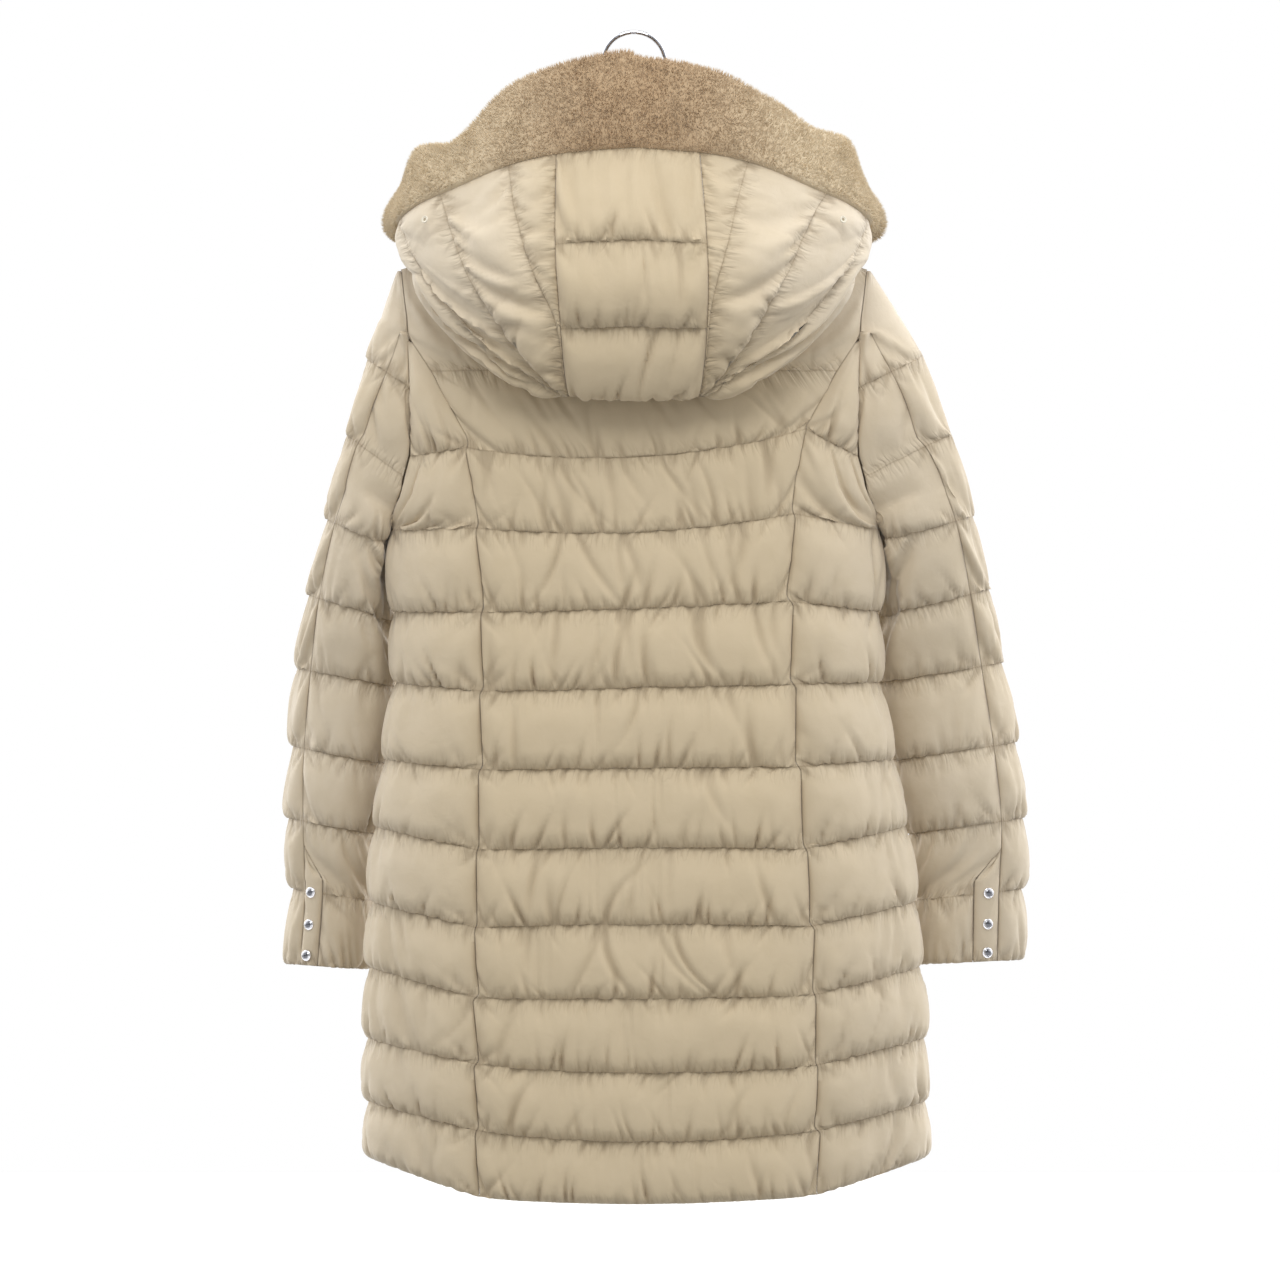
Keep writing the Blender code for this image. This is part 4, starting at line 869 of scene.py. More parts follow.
def side_place(side, across, row):
    """A back side panel: from the princess seam to the armhole, then to the side seam."""
    seam_drop, seam_x = row_ends(side, row)
    edge_drop = read(EDGE_LINES, "back", row)
    start = angle_at(seam_x, seam_drop)
    armhole = read(ARMHOLE, "back", edge_drop)
    end = np.where(edge_drop < ARMHOLE["drop"][-1], armhole, SIDE_SEAM_ANGLE)
    end = np.maximum(end, start + 1.5)
    angle = start + (end - start) * inset(across, SIDE_WIDE)
    low, reach, high = (np.abs(np.sin(np.radians(np.minimum(turn, 90.0))))
                        for turn in (start, angle, end))
    share = np.clip((reach - low) / np.maximum(high - low, 1e-6), 0.0, 1.0)
    return SIDES[side] * angle, seam_drop + (edge_drop - seam_drop) * share


def front_place(side, across, row):
    """A front: from the armhole or side seam to the placket."""
    side_drop, placket_drop = (read(EDGE_LINES, name, row) for name in ("front", "placket"))
    top = front_top(SHOULDER_HALF)
    edge_drop = np.where(row < 1.0, top + (EDGE_LINES["front"][0] - top) * row, side_drop)
    above = edge_drop < ARMHOLE["drop"][-1]
    start = np.where(above, read(ARMHOLE, "front", edge_drop), SIDE_SEAM_ANGLE)
    share = inset(across, FRONT_WIDE)
    placket = PLACKET_HALF + SEAM_GAP
    end = 180 - np.abs(angle_at(placket, edge_drop))
    edge_x = read(BODY, "half", edge_drop) * np.sin(np.radians(start)) ** (2 / SECTION_POWER)
    edge_x = np.where(row < 0.001, SHOULDER_HALF, edge_x)
    x = edge_x + (placket - edge_x) * share
    first_x = SHOULDER_HALF + (placket - SHOULDER_HALF) * share
    down = np.clip(row, 0.0, 1.0)
    drop = side_drop + (placket_drop - side_drop) * share
    drop = front_top(first_x) * (1 - down) + drop * down
    angle = np.where(above, 180 - np.abs(angle_at(x, drop)), start + (end - start) * share)
    return SIDES[side] * angle, drop


def placket_place(across, row):
    """The front placket, from the wearer's right to the left."""
    x = 2 * PLACKET_HALF * across - PLACKET_HALF
    top = front_top(np.zeros_like(x))
    drop = top + (EDGE_LINES["placket"][-1] - top) * row / HEM_ROW
    return 180 - angle_at(x, drop), drop


def back_crown(across, row):
    """The back's channels fill out from the shoulder blades down."""
    return BODY_LOFT * np.interp(row, (1.5, 2.5, 3.5, 4.5), (0.5, 0.55, 0.75, 1.0))


def side_crown(across, row):
    """A side panel is fullest by the princess seam, and flatter towards the side seam."""
    return BODY_LOFT * np.interp(across, (0.5, 0.9), (1.0, 0.7))


def side_wall(across, row):
    """The side panel's top runs on past the yoke line in one channel."""
    run = np.where(row < 2.0, 1 + (row - SIDE_TOP) / (2.0 - SIDE_TOP), row)
    return loft(across, run, side_crown(across, row), SIDE_MARGIN)


def front_crown(across, row):
    return np.where(row < 1.0, YOKE_LOFT, BODY_LOFT)


def placket_wall(across, row):
    edge = np.clip(np.minimum(across, 1 - across) / 0.14, 0, 1)
    return SEAM_WALL + (PLACKET_WALL - SEAM_WALL) * np.sin(np.pi / 2 * edge) ** 0.6 * (
        0.45 + 0.55 * np.abs(np.sin(np.pi * row)) ** 0.5)


BODY_CELLS = 27
back_rows = quilt_rows(np.arange(HEM_ROW + 1.0), BODY_CELLS)
side_lines = np.array([SIDE_TOP, *range(2, HEM_ROW + 1)])
side_rows = quilt_rows(side_lines, [BODY_CELLS + 6] + [BODY_CELLS] * (HEM_ROW - 2))
quilted("back_centre", body_point, BODY_STEPS, back_place, BODY_MARGIN, back_crown,
        169, back_rows, seed=10, long_folds=(2.4, 0.5))
for number, side in enumerate(SIDES):
    quilted(f"back_side_{side}", body_point, BODY_STEPS, partial(side_place, side), side_wall,
            side_crown, 46, side_rows, seed=20 + number, lines=side_lines)
    quilted(f"front_{side}", body_point, BODY_STEPS, partial(front_place, side),
            BODY_MARGIN, front_crown, 55, back_rows, seed=30 + number)
quilted("front_placket", body_point, BODY_STEPS, placket_place, placket_wall, PLACKET_WALL,
        inset(np.linspace(0, 1, 13), 2 * PLACKET_HALF), back_rows, seed=40)

# ---------------------------------------------------------------- The snaps
# Domed caps of bright plated brass, each set through a rolled ring and clinched through the
# placket. Six stand down the front and three on each cuff.

AROUND = 36                   # points round turned work
SNAP_RADIUS = 0.0050
SNAP_HEIGHT = 0.0026
FRONT_SNAPS = 6
CUFF_SNAP_ROWS = np.array([8.0, 8.4, 8.8])

# Its section, in shares of the radius and the height.
SNAP_TURN = np.array([(0.0, 1.0), (0.18, 0.985), (0.36, 0.92), (0.52, 0.80), (0.62, 0.64),
                      (0.66, 0.50), (0.70, 0.44), (0.75, 0.52), (0.84, 0.60), (0.93, 0.54),
                      (0.99, 0.34), (1.0, 0.14), (0.98, 0.0), (0.0, 0.0)])

# A painted reflection: the caps are dark in the middle and bright at the rim, by each point's
# share of the radius.
snap_cap = Finish("snap_plated", metallic=1.0, roughness=0.12)
snap_cap.give(base_color=snap_cap.blend(1 - snap_cap.measure("reach").band(0.45, 0.80),
                                        colour(232, 232, 236), colour(104, 105, 110)),
              roughness=0.08 + 0.14 * snap_cap.cloud(snap_cap.place(), 700.0, 3.0))


def turned(profile, radius, height, spots, outwards):
    """Lathe work at each spot: a profile of shares of the radius and height, carried round the
    outward axis. Gives points, faces and each point's share of the radius."""
    angle = np.arange(AROUND) * 2 * np.pi / AROUND
    number = np.arange(len(profile) * AROUND).reshape(len(profile), AROUND)
    cells = quads(np.hstack([number, number[:, :1]])).reshape(-1, 4)
    points = []
    for spot, outward in zip(spots, outwards):
        flat_one = unit(np.cross(outward, (0.0, 0.0, 1.0)))
        flat_two = np.cross(outward, flat_one)
        ring = np.cos(angle)[:, None] * flat_one + np.sin(angle)[:, None] * flat_two
        shape = (spot + profile[:, 0, None, None] * radius * ring
                 + profile[:, 1, None, None] * height * outward)
        points.append(shape.reshape(-1, 3))
    faces = np.concatenate([cells + number.size * order for order in range(len(points))])
    reach = np.tile(np.repeat(profile[:, 0], AROUND), len(points))
    return np.concatenate(points), faces.tolist(), reach


def caps(name, profile, radius, height, finish, slot, form, steps, place, wall, nodes, hand=1):
    """Turned caps that stand on a form at its places, a wall's thickness out."""
    outwards = normals(form, *place, steps, hand)
    spots = form(*place) + outwards * (wall + SEAM_GAP)
    points, faces, reach = turned(profile, radius, height, spots, outwards)
    sewn(name, points, faces, finish, shares={"reach": reach}, nodes=nodes)


snaps = (SNAP_TURN, SNAP_RADIUS, SNAP_HEIGHT, snap_cap, "snap")
snap_rows = np.linspace(0.6, HEM_ROW - 2.4, FRONT_SNAPS)
caps("front_snaps", *snaps, body_point, BODY_STEPS,
     placket_place(np.full(FRONT_SNAPS, 0.5), snap_rows), PLACKET_WALL,
     [f"front_snap_{number + 1}" for number in range(FRONT_SNAPS)])

# ---------------------------------------------------------------- The sleeves
# An upper and an under sleeve each, set into the armhole, quilted in nine channels and a
# little fuller at the elbow. A padded placket with three snaps closes the cuff's slit.

# Rings of each sleeve at its quilt lines, shoulder to cuff: the outermost point and its drop,
# the ring's width, how far it falls towards the body, its middle's y, its half depth, and the
# angle of the back seam from the outermost point. Above the underarm part of a ring is there.
SLEEVES = {
    "left": table(
        "out    drop   width  fall   middle  deep   seam",
        (0.2125, 0.2155, 0.006, 0.002, 0.000, 0.006, 90.0),
        (0.238, 0.293, 0.076, 0.046, 0.000, 0.031, 56.0),
        (0.256, 0.361, 0.100, 0.070, 0.000, 0.031, 40.0),
        (0.274, 0.437, 0.056, 0.026, -0.014, 0.034, 41.0),
        (0.291, 0.505, 0.074, 0.022, -0.040, 0.046, 41.0),
        (0.302, 0.571, 0.086, 0.016, -0.062, 0.050, 44.0),
        (0.306, 0.641, 0.080, 0.016, -0.067, 0.051, 42.0),
        (0.310, 0.706, 0.073, 0.014, -0.068, 0.048, 50.0),
        (0.306, 0.770, 0.067, 0.010, -0.069, 0.043, 48.0),
        (0.311, 0.838, 0.067, 0.004, -0.070, 0.041, 48.0),
    ),
    "right": table(
        "out    drop   width  fall   middle  deep   seam",
        (0.2125, 0.2155, 0.006, 0.002, 0.000, 0.006, 90.0),
        (0.258, 0.290, 0.110, 0.048, 0.000, 0.031, 58.0),
        (0.284, 0.361, 0.130, 0.066, 0.000, 0.031, 47.0),
        (0.303, 0.434, 0.083, 0.024, -0.014, 0.034, 50.0),
        (0.318, 0.500, 0.098, 0.024, -0.040, 0.042, 48.0),
        (0.330, 0.566, 0.108, 0.018, -0.058, 0.044, 48.0),
        (0.342, 0.638, 0.106, 0.016, -0.058, 0.044, 50.0),
        (0.349, 0.706, 0.098, 0.014, -0.060, 0.042, 52.0),
        (0.348, 0.770, 0.096, 0.010, -0.062, 0.039, 54.0),
        (0.346, 0.834, 0.093, 0.004, -0.064, 0.037, 54.0),
    ),
}
SLEEVE_ROWS = 9
SLEEVE_FRONT_SEAM = 240.0   # angle of the front seam, round past the underside
UNDER_TOP_ROW = 0.5         # where the back seam meets the armhole
UNDER_FRONT_ROW = 2.5       # where the front seam meets it
UNDER_ARM_ROW = 1.86        # below this the armhole's rim turns under the arm
UNDER_ARM_SHARE = 0.32      # share of the under sleeve's columns beside the armhole
UNDER_EVEN_ROW = 3.5        # from here on the under sleeve's columns are even
SLEEVE_CLEAR = 0.0145       # sleeve's wall off the body's inside, where the arm lies on it
ARMPIT_CLEAR = 0.0035       # the same in the armpit
ARMPIT = (0.452, 0.485)     # drops over which the one turns into the other
CLEAR_FROM = 0.395          # drops over which the clearance comes in
CLEAR_FULL = 0.430
CUFF_PLACKET_ANGLE = 29.0
CUFF_PLACKET_WALL = 0.0055
CUFF_PLACKET_TOP = 7.35     # sleeve rows where the cuff placket starts and is full width
CUFF_PLACKET_FULL = 7.80

# Where the sleeve's rings leave the armhole: the ring's angle, the armhole's drop, and the
# degrees round the body from its edge to the sleeve's, at each row.
SLEEVE_ARMHOLE = table(
    "row   angle  drop    step",
    (0.00, 90.0, 0.2150, 0.3),
    (0.14, 90.0, 0.2330, 0.3),
    (1.00, 90.0, 0.3190, 0.4),
    (1.86, 90.0, 0.3880, 1.6),
    (2.14, 102.0, 0.4080, 2.4),
    (2.50, 120.0, 0.4280, 3.2),
    (2.86, 180.0, 0.4410, 3.2),
)

SLEEVE_STEPS = (0.5, 0.01)
SLEEVE_MARGIN = 0.14
SLEEVE_WIDE = 0.15


def sleeve_ring(side, angle, row):
    """A point on a sleeve ring: an ellipse that falls towards the body. Angle 0 is outermost,
    90 is the back and 180 is the underside."""
    ring = {name: through(column, row) for name, column in SLEEVES[side].items()}
    turn = np.radians(angle)
    radius = ring["width"] / 2
    x = ring["out"] - radius + radius * np.cos(turn)
    y = ring["middle"] + ring["deep"] * np.sin(turn)
    drop = ring["drop"] + ring["fall"] / 2 * (1 - np.cos(turn))
    return x, y, drop


def armhole_point(drop, step, front):
    """Inside the body's armhole edge at a drop, as x and y of the wearer's left."""
    back_edge, front_edge = (read(ARMHOLE, name, drop) for name in ("back", "front"))
    step = np.minimum(step, (front_edge - back_edge) / 2)
    spot = body_point(np.where(front, front_edge - step, back_edge + step), drop)
    return spot[..., 0], spot[..., 1]


def armhole_pull(angle, row):
    """How strongly the armhole draws a sleeve point, and the rim's angle on its side."""
    rim = read(SLEEVE_ARMHOLE, "angle", row)
    round_it = np.mod(angle, 360.0)
    front = round_it > 180
    rim_angle = np.where(front, 360 - rim, rim)
    near = np.where(front, round_it - rim_angle, rim_angle - round_it)
    return np.maximum(1 - near / 90.0, 0.0) * np.clip((3.3 - row) / 0.44, 0.0, 1.0), rim_angle


def beside_body(x, y, drop, gap, sign):
    """Level with the body, a point is moved out until it is the gap off the body's inside
    face."""
    sway = sign * read(BODY, "sway", drop)
    wide, back, front = (read(BODY, name, drop) + gap for name in ("half", "back", "front"))
    deep = np.where(y > 0, back, front)
    near = (np.abs(x - sway) / wide) ** SECTION_POWER + (np.abs(y) / deep) ** SECTION_POWER
    scale = np.clip(near, 0.05, 1.0) ** (-1 / SECTION_POWER)
    return sway + (x - sway) * scale, y * scale


def sleeve_crown(angle, row):
    """A sleeve channel's fullest wall, pressed flat under the arm."""
    pull = armhole_pull(angle, row)[0]
    flat = np.clip((pull - 0.25) / 0.35, 0.0, 1.0) * np.clip((row - 1.5) / 0.4, 0.0, 1.0)
    return SLEEVE_LOFT + (PRESSED_LOFT - SLEEVE_LOFT) * flat


def sleeve_form(side, angle, row):
    """A sleeve's inside face, with its rings drawn in to the armhole near the body."""
    sign = SIDES[side]
    x, y, drop = sleeve_ring(side, angle, row)
    pull, rim_angle = armhole_pull(angle, row)
    rim_x, rim_y, rim_drop = sleeve_ring(side, rim_angle, row)
    arm_drop = read(SLEEVE_ARMHOLE, "drop", row)
    step = read(SLEEVE_ARMHOLE, "step", row)
    arm_x, arm_y = armhole_point(arm_drop, step, rim_angle > 180)
    x = x + (arm_x - rim_x) * pull
    y = y + (arm_y - rim_y) * pull
    drop = drop + (arm_drop - rim_drop) * pull
    below = np.clip((drop - CLEAR_FROM) / (CLEAR_FULL - CLEAR_FROM), 0.0, 1.0)
    away = np.minimum((1 - pull) / 0.3, 1.0)
    clear = np.interp(drop, ARMPIT, (ARMPIT_CLEAR, SLEEVE_CLEAR))
    gap = (clear + sleeve_crown(angle, row)) * below * away
    clear_x, clear_y = beside_body(x, y, drop, gap, sign)
    share = np.clip(below * 3, 0.0, 1.0)
    return stacked(sign * (x + (clear_x - x) * share), y + (clear_y - y) * share, -drop)


def sleeve_lean(side, angle, row):
    """On the armhole the sleeve's edge stands the way the body's wall does."""
    pull, rim_angle = armhole_pull(angle, row)
    drop = read(SLEEVE_ARMHOLE, "drop", row)
    edge = np.where(rim_angle > 180, read(ARMHOLE, "front", drop), read(ARMHOLE, "back", drop))
    across_body = normals(body_point, SIDES[side] * edge, drop, BODY_STEPS)
    share = np.maximum(np.clip((pull - 0.9) / 0.1, 0.0, 1.0), row < 0.01)
    return across_body, (share * np.clip((2.1 - row) / 0.3, 0.0, 1.0))[..., None]


def sleeve_full(place, across, along):
    return sleeve_crown(*place(across, along))


def sleeve_wall(place, across, along):
    """A sleeve's wall thickness: its channels, and thin on the armhole."""
    angle, row = place(across, along)
    pull = armhole_pull(angle, row)[0]
    full = loft(across, row, sleeve_crown(angle, row), SLEEVE_MARGIN)
    edge = np.interp(row, (1.2, 1.9), (0.16, 0.45))
    share = np.sin(np.pi / 2 * np.clip((1 - pull) / edge, 0.0, 1.0)) ** 0.7
    return SEAM_WALL + (full - SEAM_WALL) * share


def back_seam(side, row):
    rim = read(SLEEVE_ARMHOLE, "angle", row)
    seam = through(SLEEVES[side]["seam"], row)
    return np.where(row < UNDER_TOP_ROW + 0.01, rim, np.minimum(seam, rim))


def under_edge(side, row):
    """The under sleeve's back edge: the seam, then the cuff placket's edge."""
    opened = np.clip((row - CUFF_PLACKET_TOP) / (CUFF_PLACKET_FULL - CUFF_PLACKET_TOP), 0, 1)
    return back_seam(side, row) + CUFF_PLACKET_ANGLE * opened


def upper_place(side, across, row):
    """The upper sleeve, from the back seam over the top to the front seam."""
    start = back_seam(side, row)
    end = -np.minimum(read(SLEEVE_ARMHOLE, "angle", row), 360 - SLEEVE_FRONT_SEAM)
    return start + (end - start) * inset(across, SLEEVE_WIDE), row


SLEEVE_CELLS = 18
sleeve_rows = quilt_rows(np.arange(SLEEVE_ROWS + 1.0), SLEEVE_CELLS)
under_rows = np.concatenate([
    quilt_rows(np.array([UNDER_TOP_ROW, 1.0]), SLEEVE_CELLS // 2),
    1 + (UNDER_ARM_ROW - 1) * np.arange(1, SLEEVE_CELLS - 2) / (SLEEVE_CELLS - 3),
    UNDER_ARM_ROW + (2 - UNDER_ARM_ROW) * np.arange(1, 4) / 3,
    quilt_rows(np.arange(2.0, SLEEVE_ROWS + 1), SLEEVE_CELLS)[1:]])
under_columns = np.concatenate([np.linspace(0, UNDER_ARM_SHARE, 19),
                                np.linspace(UNDER_ARM_SHARE, 1, 34)[1:]])


def under_place(side, across, row):
    """The under sleeve. Beside the armhole its rows run from the back seam to the rim. Below
    that its columns start on the rim under the arm, and end evenly spread across a ring."""
    fall = np.linspace(UNDER_ARM_ROW, SLEEVE_ARMHOLE["row"][-1], 61)
    rows = np.append(fall, np.linspace(fall[-1], UNDER_FRONT_ROW, 19)[1:])
    rim = read(SLEEVE_ARMHOLE, "angle", rows)
    rim[len(fall):] = 360 - rim[len(fall):]
    steps = np.linalg.norm(np.diff(sleeve_form(side, rim, rows), axis=0), axis=-1)
    run = np.append(0.0, np.cumsum(steps)) / np.sum(steps)
    run = UNDER_ARM_SHARE + (1 - UNDER_ARM_SHARE) * run

    top_row = np.interp(across, run, rows)
    last_grid = under_rows[np.searchsorted(under_rows, top_row + 0.02) - 1]
    part = np.clip((row - last_grid) / (UNDER_EVEN_ROW - last_grid), 0.0, 1.0)
    low = np.where(row < UNDER_EVEN_ROW, top_row + (UNDER_EVEN_ROW - top_row) * part, row)
    true_row = np.where(row < UNDER_ARM_ROW - 0.01, row, low)
    top_edge = under_edge(side, top_row)
    top_share = (np.interp(across, run, rim) - top_edge) / (SLEEVE_FRONT_SEAM - top_edge)
    beside = top_share * across / UNDER_ARM_SHARE
    top_share = np.where(across < UNDER_ARM_SHARE, beside, top_share)
    start = under_edge(side, true_row)
    below = start + (SLEEVE_FRONT_SEAM - start) * inset(
        top_share + (across - top_share) * part, SLEEVE_WIDE)
    above = start + (SLEEVE_ARMHOLE["angle"][0] - start) * inset(
        np.minimum(across / UNDER_ARM_SHARE, 1.0), SLEEVE_WIDE)
    beside_rim = (row < UNDER_ARM_ROW + 0.01) & (across < UNDER_ARM_SHARE + 0.001)
    return np.where(beside_rim, above, below), true_row


def under_notch(across, row):
    """The part of the under sleeve's grid that the armhole leaves out."""
    return (across > UNDER_ARM_SHARE - 0.001) & (row < UNDER_ARM_ROW - 0.001)


def strip_place(side, across, row):
    """A cuff placket, between the upper sleeve's edge and the under sleeve's."""
    start = back_seam(side, row) + 0.6
    end = under_edge(side, row) - 0.6
    return start + np.maximum(end - start, 1.0) * across, row


def strip_wall(across, row):
    edge = np.clip(np.minimum(across, 1 - across) / 0.2, 0, 1)
    top = np.clip((row - CUFF_PLACKET_TOP) / 0.12, 0, 1)
    foot = np.clip((SLEEVE_ROWS - row) / 0.12, 0, 1)
    round_off = np.sin(np.pi / 2 * edge * top * foot) ** 0.6
    return SEAM_WALL + (CUFF_PLACKET_WALL - SEAM_WALL) * round_off


for number, (side, sign) in enumerate(SIDES.items()):
    form, lean, upper, under, strip = (partial(shape, side) for shape in (
        sleeve_form, sleeve_lean, upper_place, under_place, strip_place))
    quilted(f"sleeve_upper_{side}", form, SLEEVE_STEPS, upper, partial(sleeve_wall, upper),
            partial(sleeve_full, upper), 67, sleeve_rows, -sign, lean,
            50 + number)
    quilted(f"sleeve_under_{side}", form, SLEEVE_STEPS, under, partial(sleeve_wall, under),
            partial(sleeve_full, under), under_columns, under_rows, -sign, lean,
            60 + number, every=1, left_out=under_notch)
    quilted(f"cuff_placket_{side}", form, SLEEVE_STEPS, strip, strip_wall, CUFF_PLACKET_WALL,
            13, np.linspace(CUFF_PLACKET_TOP, SLEEVE_ROWS, 31), -sign, seed=70 + number,
            lines=(CUFF_PLACKET_TOP, SLEEVE_ROWS))
    caps(f"cuff_snaps_{side}", *snaps, form, SLEEVE_STEPS,
         strip(np.full(len(CUFF_SNAP_ROWS), 0.5), CUFF_SNAP_ROWS), CUFF_PLACKET_WALL,
         [f"cuff_snap_{side}_{step + 1}" for step in range(len(CUFF_SNAP_ROWS))], -sign)

# ---------------------------------------------------------------- The hood
# A bag of a centre panel and two sides, hanging down the back from the neck seam. The centre
# is quilted straight across, and the sides in curved channels that close at the centre seam.

# The hood's bag in sections from the middle of its back (0) round to the throat (9): points on
# the opening's edge, at the fold and on the neck seam, and how far it swells between.
HOOD = table(
    "face_x face_y face_d  fold_x fold_y fold_d  neck_x  swell_x swell_y swell_d",
    (0.000, 0.112, 0.1060, 0.000, 0.094, 0.3250, 0.0000, 0.000, 0.036, 0.000),
    (0.066, 0.109, 0.1115, 0.058, 0.093, 0.3250, 0.0240, 0.006, 0.036, 0.000),
    (0.112, 0.101, 0.1220, 0.076, 0.091, 0.3200, 0.0380, 0.014, 0.034, 0.000),
    (0.160, 0.088, 0.1420, 0.102, 0.088, 0.3060, 0.0520, 0.016, 0.028, 0.000),
    (0.192, 0.072, 0.1560, 0.146, 0.077, 0.2720, 0.0660, 0.010, 0.020, 0.000),
    (0.209, 0.042, 0.1700, 0.182, 0.054, 0.2200, 0.0780, 0.004, 0.010, 0.000),
    (0.196, -0.006, 0.1740, 0.150, -0.002, 0.1800, 0.0850, 0.000, 0.000, 0.004),
    (0.148, -0.070, 0.1860, 0.112, -0.068, 0.2020, 0.0740, 0.000, -0.004, 0.004),
    (0.080, -0.100, 0.2040, 0.060, -0.092, 0.2240, 0.0440, 0.000, -0.004, 0.004),
    (0.004, -0.106, 0.2120, 0.004, -0.094, 0.2300, 0.0040, 0.000, -0.004, 0.004),
)
NECK_SECTION = 6.0          # where the shoulder seam meets the neck
HOOD_THROAT = 9.0
HOOD_CLEAR = 0.0168         # hood's inside face off the body's inside face, where it lies on it
NECK_FADE = (0.09, 0.40)    # run over which that clearance goes at the neck, back and front
NECK_RISE = 0.0048          # hood's neck edge above the body's
NECK_OUT = 0.0008
SECTION_WIDE = 0.042        # metres from one section to the next, about halfway down
SECTION_GAP = 0.003         # the seam's gap, in sections
CENTRE_MARGIN = 0.16        # of a panel's width: how far in its puff is full
HOOD_SIDE_MARGIN = 0.10
CENTRE_WIDE = 0.12
HOOD_STEPS = (0.01, 0.004)

# Quilt lines of the centre panel, along, and of the side panels, at the opening's edge.
HOOD_CROSS = np.array([0.0, 0.39, 0.69, 1.03, 1.35, 1.68, 2.0])
HOOD_SECTIONS = np.array([1.0, 2.0, 3.0, 4.3, 6.0, 7.5, 9.0])

# The sides' seams and quilt lines: the section each is at, along from the opening's edge to
# the fold.
SIDE_LINES = {
    "left": table(
        "along  seam  one   two   three",
        (0.00, 1.06, 2.00, 3.35, 4.70),
        (0.20, 1.05, 1.90, 3.22, 4.78),
        (0.42, 1.03, 1.62, 3.02, 4.72),
        (0.55, 1.01, 1.36, 2.90, 4.50),
        (0.66, 1.00, 1.06, 2.72, 4.15),
        (0.78, 1.00, 1.02, 2.42, 3.45),
        (0.88, 1.00, 1.02, 1.90, 2.55),
        (0.96, 1.00, 1.02, 1.20, 1.60),
        (1.04, 1.00, 1.02, 1.04, 1.10),
        (1.20, 1.00, 1.02, 1.04, 1.06),
    ),
    "right": table(
        "along  seam  one   two   three",
        (0.00, 0.88, 1.78, 3.32, 4.66),
        (0.15, 0.90, 1.60, 3.10, 4.74),
        (0.31, 0.93, 1.40, 2.86, 4.74),
        (0.51, 0.97, 1.14, 2.62, 4.52),
        (0.61, 0.99, 1.04, 2.48, 4.30),
        (0.75, 1.00, 1.02, 2.22, 3.60),
        (0.86, 1.00, 1.02, 1.72, 2.50),
        (0.94, 1.00, 1.02, 1.16, 1.50),
        (1.02, 1.00, 1.02, 1.04, 1.10),
        (1.20, 1.00, 1.02, 1.04, 1.06),
    ),
}


def neck_edge(x, front):
    """The hood's edge on the neck seam, just above the body's top edge."""
    drop = np.where(front, front_top(x), back_top(x))
    turn = angle_at(x, drop)
    edge = body_point(np.where(front, 180 - turn, turn), drop)
    return edge + stacked(0 * x, np.where(front, -NECK_OUT, NECK_OUT), NECK_RISE + 0 * x)


def clear_of_body(x, y, drop, gap):
    """A point over the back, front or shoulder, moved out until it is the gap off the body's
    inside face. Above the shoulder's rounding the body's upright section is an ellipse."""
    deep = np.where(y > 0, read(BODY, "back", drop), read(BODY, "front", drop))
    share = np.clip(np.abs(x) / read(BODY, "half", drop), 0.0, 1.0)
    deep = deep * (1 - share**SECTION_POWER) ** (1 / SECTION_POWER)
    middle = shoulder_drop(x) + SHOULDER_ROUND
    rise = np.maximum(middle - drop, 0.0)
    near = np.hypot(rise / (SHOULDER_ROUND + gap), y / (deep + gap))
    scale = 1 / np.clip(near, 0.2, 1.0)
    return y * scale, np.where(drop < middle, middle - rise * scale, drop)


def hood_form(across, along):
    """The hood's inside face: across in sections from the middle, plus to the left, and along
    from the opening's edge (0) by the fold (1) to the neck seam (2)."""
    section = np.abs(across)
    part = {name: through(column, section) for name, column in HOOD.items()}
    face, fold, swell = (stacked(part[f"{name}_x"], part[f"{name}_y"], -part[f"{name}_d"])
                         for name in ("face", "fold", "swell"))
    neck = neck_edge(part["neck_x"], section > NECK_SECTION)
    path = np.stack([face, (face + fold) / 2 + swell, fold, (fold + neck) / 2, neck])
    place = np.clip(along * 2, 0.0, 4.0)
    low = np.clip(np.floor(place).astype(int), 0, 3)
    near = (np.take_along_axis(path, np.clip(low + shift, 0, 4)[None, ..., None], axis=0)[0]
            for shift in (-1, 0, 1, 2))
    point = curve(*near, (place - low)[..., None])
    fade = np.interp(section, (NECK_SECTION - 0.5, NECK_SECTION + 0.7), NECK_FADE)
    gap = HOOD_CLEAR * np.clip((2.0 - along) / fade, 0.0, 1.0)
    y, drop = clear_of_body(point[..., 0], point[..., 1], -point[..., 2], gap)
    return stacked(np.where(across < 0, -1, 1) * point[..., 0], y, -drop)


def pressed(along):
    """A hood channel's fullest wall: swollen outside, thin where the hood lies on the back."""
    share = np.clip((1.25 - along) / 0.3, 0.0, 1.0)
    return PRESSED_LOFT + (HOOD_LOFT - PRESSED_LOFT) * share


def side_line(side, name, along):
    """A line of the table: straight between its rows, then eased by the mean of a short run
    to either side."""
    return sum(read(SIDE_LINES[side], name, along + shift)
               for shift in (-0.05, -0.025, 0, 0.025, 0.05)) / 5


def centre_place(across, row):
    along = np.interp(row, np.arange(len(HOOD_CROSS)), HOOD_CROSS)
    left, right = (side_line(side, "seam", along) for side in SIDES)
    side = 1 - 2 * inset(across, CENTRE_WIDE)
    return (left + right) / 2 * side + (left - right) / 2, along


def centre_crown(across, row):
    return pressed(centre_place(across, row)[1])


